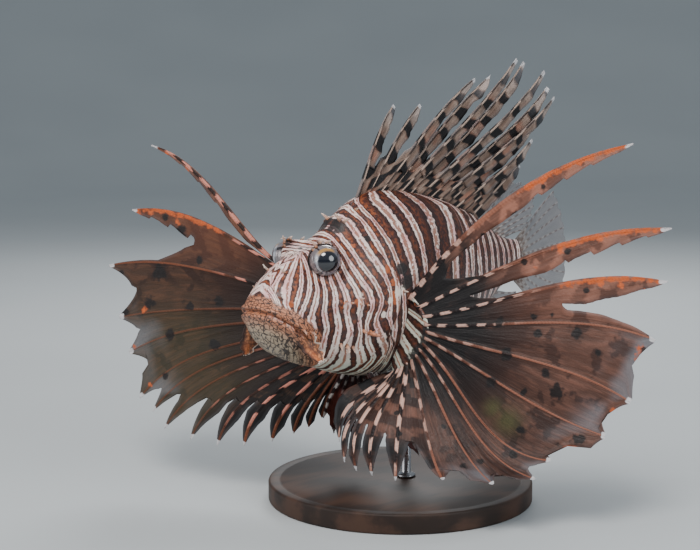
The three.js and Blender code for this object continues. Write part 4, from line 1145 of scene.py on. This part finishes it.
def eyeball(name, side, paint):
    """An eye whose cornea stands out along EYE_AXIS, painted with its pupil about EYE_GAZE."""
    rows, columns = 90, 96
    polar, turn = cross(np.linspace(0, np.pi, rows), circle(columns))
    axis = unit(mirrored(EYE_AXIS, side))
    across = unit(np.cross([0, 0, 1], axis))
    over = np.cross(axis, across)
    radius = EYE_RADIUS + 0.45 * fade(polar, 0.45, 0.95) - 0.12 * bump(polar - 0.95, 0.06)
    direction = (np.cos(polar)[:, None] * axis + (np.sin(polar) * np.cos(turn))[:, None] * across
                 + (np.sin(polar) * np.sin(turn))[:, None] * over)
    gaze = unit(mirrored(EYE_GAZE, side))
    level = unit(np.cross([0, 0, 1], gaze))
    degrees = np.degrees(np.arccos(np.clip(direction @ gaze, -1, 1)))
    turn = np.arctan2(direction @ np.cross(gaze, level), direction @ level) % (2 * np.pi)
    over_pupil = np.cos(turn - np.radians(100))
    under_pupil = np.cos(turn - np.radians(215 if side > 0 else -35))
    ahead = np.cos(turn - np.radians(180 if side > 0 else 0))
    line = step(under_pupil, 0.75, 0.9) * bump(degrees - 52, 4)
    line = np.maximum(line, 0.8 * bump(over_pupil - 0.35, 0.16) * bump(degrees - 50, 8))
    # light is a painted highlight: it rises towards the front of the eye, where the iris is painted lighter.
    values = dict(
        polar=degrees, round=np.minimum(turn, 2 * np.pi - turn), light=step(ahead, -0.2, 1), line=line,
        gold=step(over_pupil, 0.55, 0.9) * bump(degrees - 48, 12))
    ball = place(*mirrored(EYE, side)) + direction * radius[:, None]
    faces = grid_faces(rows, columns, closed=True).tolist()
    make_piece(name, ball, faces, values, paint, "eye_surface", name.replace("_ball", ""))


eye_skin = eye_paint()
eyeball("eye_left_ball", 1, eye_skin)
eyeball("eye_right_ball", -1, eye_skin)


# Flaps of skin beside the mouth, and small tabs and spines on the head

def flap_paint():
    """Tan to brown skin with dark veins, for the flaps, tabs and spines of the head."""
    p = Paint("flap_skin", Roughness=0.5, Specular_IOR_Level=0.45, Coat_Weight=0.1, Coat_Roughness=0.3)
    where = p.place()
    vein = p.ramp(p.cells(where, 0.42, "DISTANCE_TO_EDGE"), 0.03, 0.13, 1, 0)
    skin = p.mix(p.ramp(p.noise(where, 0.35, 3, 0.6), 0.35, 0.6), colour(118, 66, 38), colour(194, 124, 80))
    skin = p.mix(vein * 0.75, skin, colour(58, 30, 22))
    skin = p.mix(p.value("dark"), skin, colour(44, 24, 20))
    skin = p.mix(p.value("orange"), skin, colour(206, 104, 44))
    skin = p.mix(p.value("pale"), skin, colour(232, 220, 206))
    return p.finished(Base_Color=skin, Normal=p.bumps(p.noise(where, 1.3, 3, 0.6), 0.4))


def lip_flap(name, material):
    """A flap with a fringed edge, hanging from the upper lip; v runs down it and u across it."""
    root, tip, widest = LIP_FLAPS[name]
    side = 1 if name == "left" else -1
    start, end = place(*root), place(*tip)
    start[0] -= side * 2.5
    run = end - start
    across = unit([side * FLAP_SPREAD[name], 1, 0.35])
    normal = unit(np.cross(across, unit(run)))
    rows, columns = 80, 30
    v, u = cross(shares(rows), shares(columns))
    fringe = 1 + 0.20 * np.sin(v * 31 + 2 * side) * step(v, 0.15, 0.4) * step(np.abs(u - 0.4), 0.15, 0.6)
    fringe += 0.12 * wobble(v * 9, u * 4 + side, 61)
    width = (2 + widest * np.sin(np.pi * np.minimum(0.92, 0.9 * v + 0.06))) * fringe
    ripple = 0.9 * np.sin(v * 14 + 5 * u) * step(v, 0.2, 0.5) * np.abs(u - 0.35)
    sheet = (start + run * v[:, None] + across * ((u - 0.35) * width)[:, None]
             + normal * (side * 1.6 * np.sin(np.pi * v) + ripple)[:, None])
    end_fringe = step(v, 0.86, 1.0) * (0.5 + 0.5 * np.sin(u * 22))
    sheet += unit(run) * (end_fringe * 1.5 - 1.5 * step(v, 0.9, 1))[:, None]
    half = 0.25 + 0.55 * (1 - v) * bump(u - 0.35, 0.25) + 0.2 * bump(u - 0.35, 0.08)
    rim = fade(u, 0.08, 0.26) * (v > 0.04)
    values = dict(
        dark=0.95 * rim + 0.7 * bump(u - 0.5, 0.06) * (v < 0.8) + 0.7 * bump(u - 0.76, 0.05),
        orange=0.55 * step(v, 0.45, 0.8) * bump(u - 0.3, 0.2),
        pale=np.maximum(0.9 * step(v, 0.95, 1.0), 0.7 * step(u, 0.86, 1.0) * step(v, 0.2, 0.4)))
    make_sheet("flap_" + name, sheet, grid_faces(rows, columns, closed=False), half, values, material,
               "fish_skin", "lip_flap_" + name)


def tube(path, radii, sides=10):
    """A closed tube along a path of points, as points and faces."""
    heading = unit(np.gradient(path, axis=0))
    a = unit(np.cross(heading, [0.3, 0.5, 0.8]))[:, None]
    b = np.cross(heading[:, None], a)
    turn = circle(sides)[None, :, None]
    ring = np.cos(turn) * a + np.sin(turn) * b
    return (path[:, None] + ring * radii[:, None, None]).reshape(-1, 3), tube_faces(len(path), sides)


def join(pieces):
    """Several (points, faces, values) pieces as one."""
    all_points, all_faces, all_values, count = [], [], {}, 0
    for points, faces, values in pieces:
        all_points.append(points)
        all_faces += [[k + count for k in face] for face in faces]
        for key, value in values.items():
            all_values.setdefault(key, []).append(np.broadcast_to(value, len(points)))
        count += len(points)
    return np.concatenate(all_points), all_faces, {key: np.concatenate(v) for key, v in all_values.items()}


def frond(base, out, length, seed, tones, thick, branches):
    """A small branched tab of skin that stands on the surface, as pieces to join."""
    draw = np.random.default_rng(seed)
    t, s = shares(14), shares(8)
    curl = unit(np.cross(out, draw.normal(size=3))) * 0.45
    stem = base - out * 0.8 + out * (length + 0.8) * t[:, None] + curl * length * (t ** 2)[:, None]
    growing = {key: np.repeat(t, 10) * value for key, value in tones.items()}
    pieces = [(*tube(stem, thick * (1 - 0.75 * t ** 1.5) + 0.04), growing)]
    for _ in range(branches):
        at = draw.uniform(0.35, 0.85)
        way = unit(out + draw.normal(size=3) * 0.8)
        reach = length * draw.uniform(0.25, 0.45)
        twig = stem[int(at * 13)] + way * reach * s[:, None] + curl * (s ** 2)[:, None]
        even = {key: value * (0.5 + 0.5 * at) for key, value in tones.items()}
        pieces.append((*tube(twig, thick * 0.5 * (1 - 0.85 * s) + 0.04, 8), even))
    return pieces


def head_tabs(skin, material):
    """Tabs at points of the photograph, spines on the brow and the nape, and small spines on the cheek."""
    surface = Surface(skin.points, skin.normals)
    pieces = []
    for seed, (x, y, length, thick, branches, dark, orange, pale) in enumerate(FRONDS):
        found = surface.find(x, y)
        out = unit(skin.normals[found] + [0, 0.15, -0.25])
        tones = dict(dark=dark, orange=orange, pale=pale)
        for way in (1, -1):
            pieces += frond(mirrored(skin.points[found], way), mirrored(out, way), length, 100 + seed, tones,
                            thick, branches)
    t = shares(12)
    for at_side, behind, up, height in HEAD_SPINES:
        for way in (1, -1):
            found = np.argmin(np.linalg.norm(skin.points - place(way * at_side, behind, up), axis=1))
            base = skin.points[found] - skin.normals[found]
            lean = unit([way * 0.25, 0.62, 0.74]) * (0.75 * height + 1)
            spine = base + lean * t[:, None] + np.array([0, 1.2, -0.6]) * (t ** 2)[:, None]
            tones = dict(dark=np.repeat(0.5 * (1 - t), 12), orange=0.0, pale=np.repeat(t, 12) * 0.6)
            pieces.append((*tube(spine, 1.5 * (1 - t) ** 0.8 + 0.05, 12), tones))
    t = shares(8)
    for way in (1, -1):
        for k, behind in enumerate(CHEEK_SPINES):
            away = np.hypot(skin.behind - behind, above_ridge(behind, skin.up))
            found = np.argmin(away + 99 * (skin.points[:, 0] * way < 0))
            base = skin.points[found] - skin.normals[found] * 0.6
            spine = base + unit(skin.normals[found] + [0, 0.9, 0]) * (0.5 + 1.9 * t[:, None])
            tones = dict(dark=0.1, orange=0.7 - 0.1 * k, pale=np.repeat(t, 10) * 0.7)
            pieces.append((*tube(spine, 0.75 * (1 - t) ** 0.8 + 0.05), tones))
    make_piece("head_tabs", *join(pieces), material, "fish_skin")


FLAP_SPREAD = dict(left=0.25, right=-0.8)
# The tabs: a point of the photograph, length, thickness, branches, and how dark, orange and pale the tip is.
FRONDS = [
    (283, 239, 4.5, .9, 5, .6, .5, .6), (293, 237, 2.5, .7, 2, .5, .4, .5),
    (326, 216, 4.5, 1.1, 5, .5, .6, .7),
    (333, 262, 1.6, .5, 1, .4, 0, .5), (370, 333, 6.5, 1.5, 6, .05, 1, .25),
    (364, 331, 3.5, 1.1, 3, .1, .9, .4),
    (347, 346, 7.5, 1.2, 8, .1, .3, .7), (341, 345, 4.0, 1.0, 5, .2, .3, .6),
    (353, 347, 4.0, 1.0, 4, .2, .4, .5),
    (266, 268, 4.2, .7, 2, 0, 0, 1), (312, 333, 4.0, .9, 4, .3, .7, .5), (304, 330, 3.0, .8, 3, .3, .6, .4),
    (346, 301, 1.5, .7, 1, 0, .9, .3), (362, 300, 2.0, .8, 1, 0, .8, .6), (404, 291, 2.6, .8, 1, .1, .4, .9),
    (250, 285, 1.5, .5, 1, .6, 0, .3)]
CHEEK_SPINES = (44, 49, 54, 59)  # how far behind the snout they stand
flap_skin = flap_paint()
lip_flap("left", flap_skin)
lip_flap("right", flap_skin)
head_tabs(skin, flap_skin)


# The stand

def stand_paint():
    """Dark wood with the lines and streaks of its grain."""
    p = Paint("stand_wood", Roughness=0.6, Specular_IOR_Level=0.25, Coat_Weight=0.1, Coat_Roughness=0.45)
    bent = p.noise(p.place(), 0.012, 2)
    grain = p.noise(p.place(900, 45, 900), 0.16, 4, 0.6)
    lines = p.math("PINGPONG", bent * 9 + grain * 1.6, 1.0)
    wood = p.mix(p.ramp(lines, 0.1, 0.9), colour(38, 27, 22), colour(66, 46, 36))
    wood = p.mix(p.ramp(grain, 0.55, 0.8, 0, 0.6), wood, colour(24, 17, 14))
    return p.finished(Base_Color=wood, Normal=p.bumps(grain, 0.08))


def rod_paint():
    """Steel brushed along the rod."""
    p = Paint("stand_steel", Metallic=1.0, Roughness=0.28)
    brushed = p.noise(p.place(4000, 4000, 60), 1.0, 3)
    return p.finished(
        Base_Color=p.mix(brushed, colour(150, 150, 152), colour(186, 186, 190)),
        Roughness=p.ramp(brushed, 0.3, 0.7, 0.22, 0.36), Normal=p.bumps(brushed, 0.02))


def lathe(name, profile, sides, middle, material, slot, node):
    """A piece turned from (radius, height) points about an upright line through a middle."""
    profile = np.array(profile, float)
    turn = circle(sides)
    ring = np.stack([np.cos(turn), np.sin(turn), 0 * turn], -1)
    points = ring * profile[:, :1, None] + np.array([0, 0, 1]) * profile[:, 1:, None]
    points = points.reshape(-1, 3) + middle
    make_piece(name, points, tube_faces(len(profile), sides), {}, material, slot, node)


def corner(radius, height, size, start, steps=8):
    """The rounded corner of a profile that turns a quarter of a circle from start degrees."""
    angles = np.radians(np.linspace(start, start + 90, steps))
    return [(radius + size * math.cos(a), height + size * math.sin(a)) for a in angles]


EDGE = 1.5  # the radius of the disc's rounded edges
ROD_TOP = AXIS_Z - 44
disc = [(BASE_RADIUS - 14, 0.4), (BASE_RADIUS - 12, 0)]
disc += corner(BASE_RADIUS - EDGE, EDGE, EDGE, -90) + corner(BASE_RADIUS - EDGE, BASE_HEIGHT - EDGE, EDGE, 0)
disc += [(BASE_RADIUS - 6, BASE_HEIGHT), (BASE_RADIUS - 6.8, BASE_HEIGHT - 0.5)]
disc += [(BASE_RADIUS - 7.6, BASE_HEIGHT), (9, BASE_HEIGHT), (0.5, BASE_HEIGHT)]
collar = [(0, 0.3), (2.6, 0.3), (3, 0.7), (2.6, 1.8), (0.4, 2.6), (0, 3.0)]
rod = [(0, -1), *collar, (0, ROD_TOP - BASE_HEIGHT)]
rod = [(ROD_RADIUS + out, BASE_HEIGHT + up) for out, up in rod]
lathe("stand_disc", disc, 160, [0, 0, 0], stand_paint(), "stand_wood", "stand_base")
lathe("stand_upright", rod, 48, [0, ROD_BEHIND + SNOUT_Y, 0], rod_paint(), "stand_steel", "stand_rod")


# The floor, the lights and the camera

def studio_floor():
    """A floor that runs up into a wall far behind, in one smooth sweep."""
    rows, columns = 70, 90
    r, t = cross(shares(rows) ** 1.3 * FLOOR_RADIUS, circle(columns))
    rise = WALL_HEIGHT * step(r, FLAT_RADIUS, FLOOR_RADIUS + FLAT_RADIUS)
    points = np.stack([r * np.cos(t), r * np.sin(t), rise], -1)
    quads = grid_faces(rows, columns, closed=True)[columns:].tolist()
    middle = [[columns + c, columns + (c + 1) % columns, 0] for c in range(columns)]
    p = Paint("floor", Roughness=0.8, Specular_IOR_Level=0.15)
    tone = p.mix(p.noise(p.place(1, 1, 1), 3.0, 2), colour(176, 180, 182), colour(188, 192, 193))
    smooth_object("floor", points, quads + middle, p.finished(Base_Color=tone))


def area_light(name, where, target, size, power, tint):
    lamp = bpy.data.lights.new(name, "AREA")
    lamp.shape = "DISK"
    lamp.size = size
    lamp.energy = power
    lamp.color = tint
    piece = add_object(name, lamp)
    piece.location = where
    piece.rotation_euler = (Vector(target) - Vector(where)).to_track_quat("-Z", "Y").to_euler()


FLAT_RADIUS, WALL_HEIGHT = 2100, 1900
FLOOR_RADIUS = 4500
# The lights: where each one stands and aims in metres, its size, its watts and its colour.
LIGHTS = [
    ("key_light", (0.45, -0.75, 1.15), (0, -0.02, 0.14), 0.55, 16, (1.0, 0.97, 0.94)),
    ("left_light", (1.1, 0.05, 0.5), (0.02, 0.0, 0.13), 0.7, 6, (0.93, 0.97, 1.0)),
    ("front_light", (-0.5, -1.1, 0.35), (0, -0.05, 0.13), 0.7, 5, (1.0, 0.96, 0.94)),
    ("rim_light", (-0.6, 0.7, 0.8), (0, 0, 0.15), 0.6, 8, (1, 1, 1))]
studio_floor()
for light in LIGHTS:
    area_light(*light)

world = bpy.data.worlds.new("studio")
bpy.context.scene.world = world
world.use_nodes = True
background = world.node_tree.nodes["Background"].inputs
background["Color"].default_value = colour(170, 180, 188)
background["Strength"].default_value = 0.78

lens = bpy.data.cameras.new("camera")
lens.lens = LENS
lens.sensor_width = SENSOR
lens.sensor_fit = "HORIZONTAL"
camera = add_object("camera", lens)
axes = Matrix([camera_right, camera_up, camera_back]).transposed().to_4x4()
camera.matrix_world = Matrix.Translation(Vector(camera_place * MM)) @ axes
bpy.context.scene.camera = camera
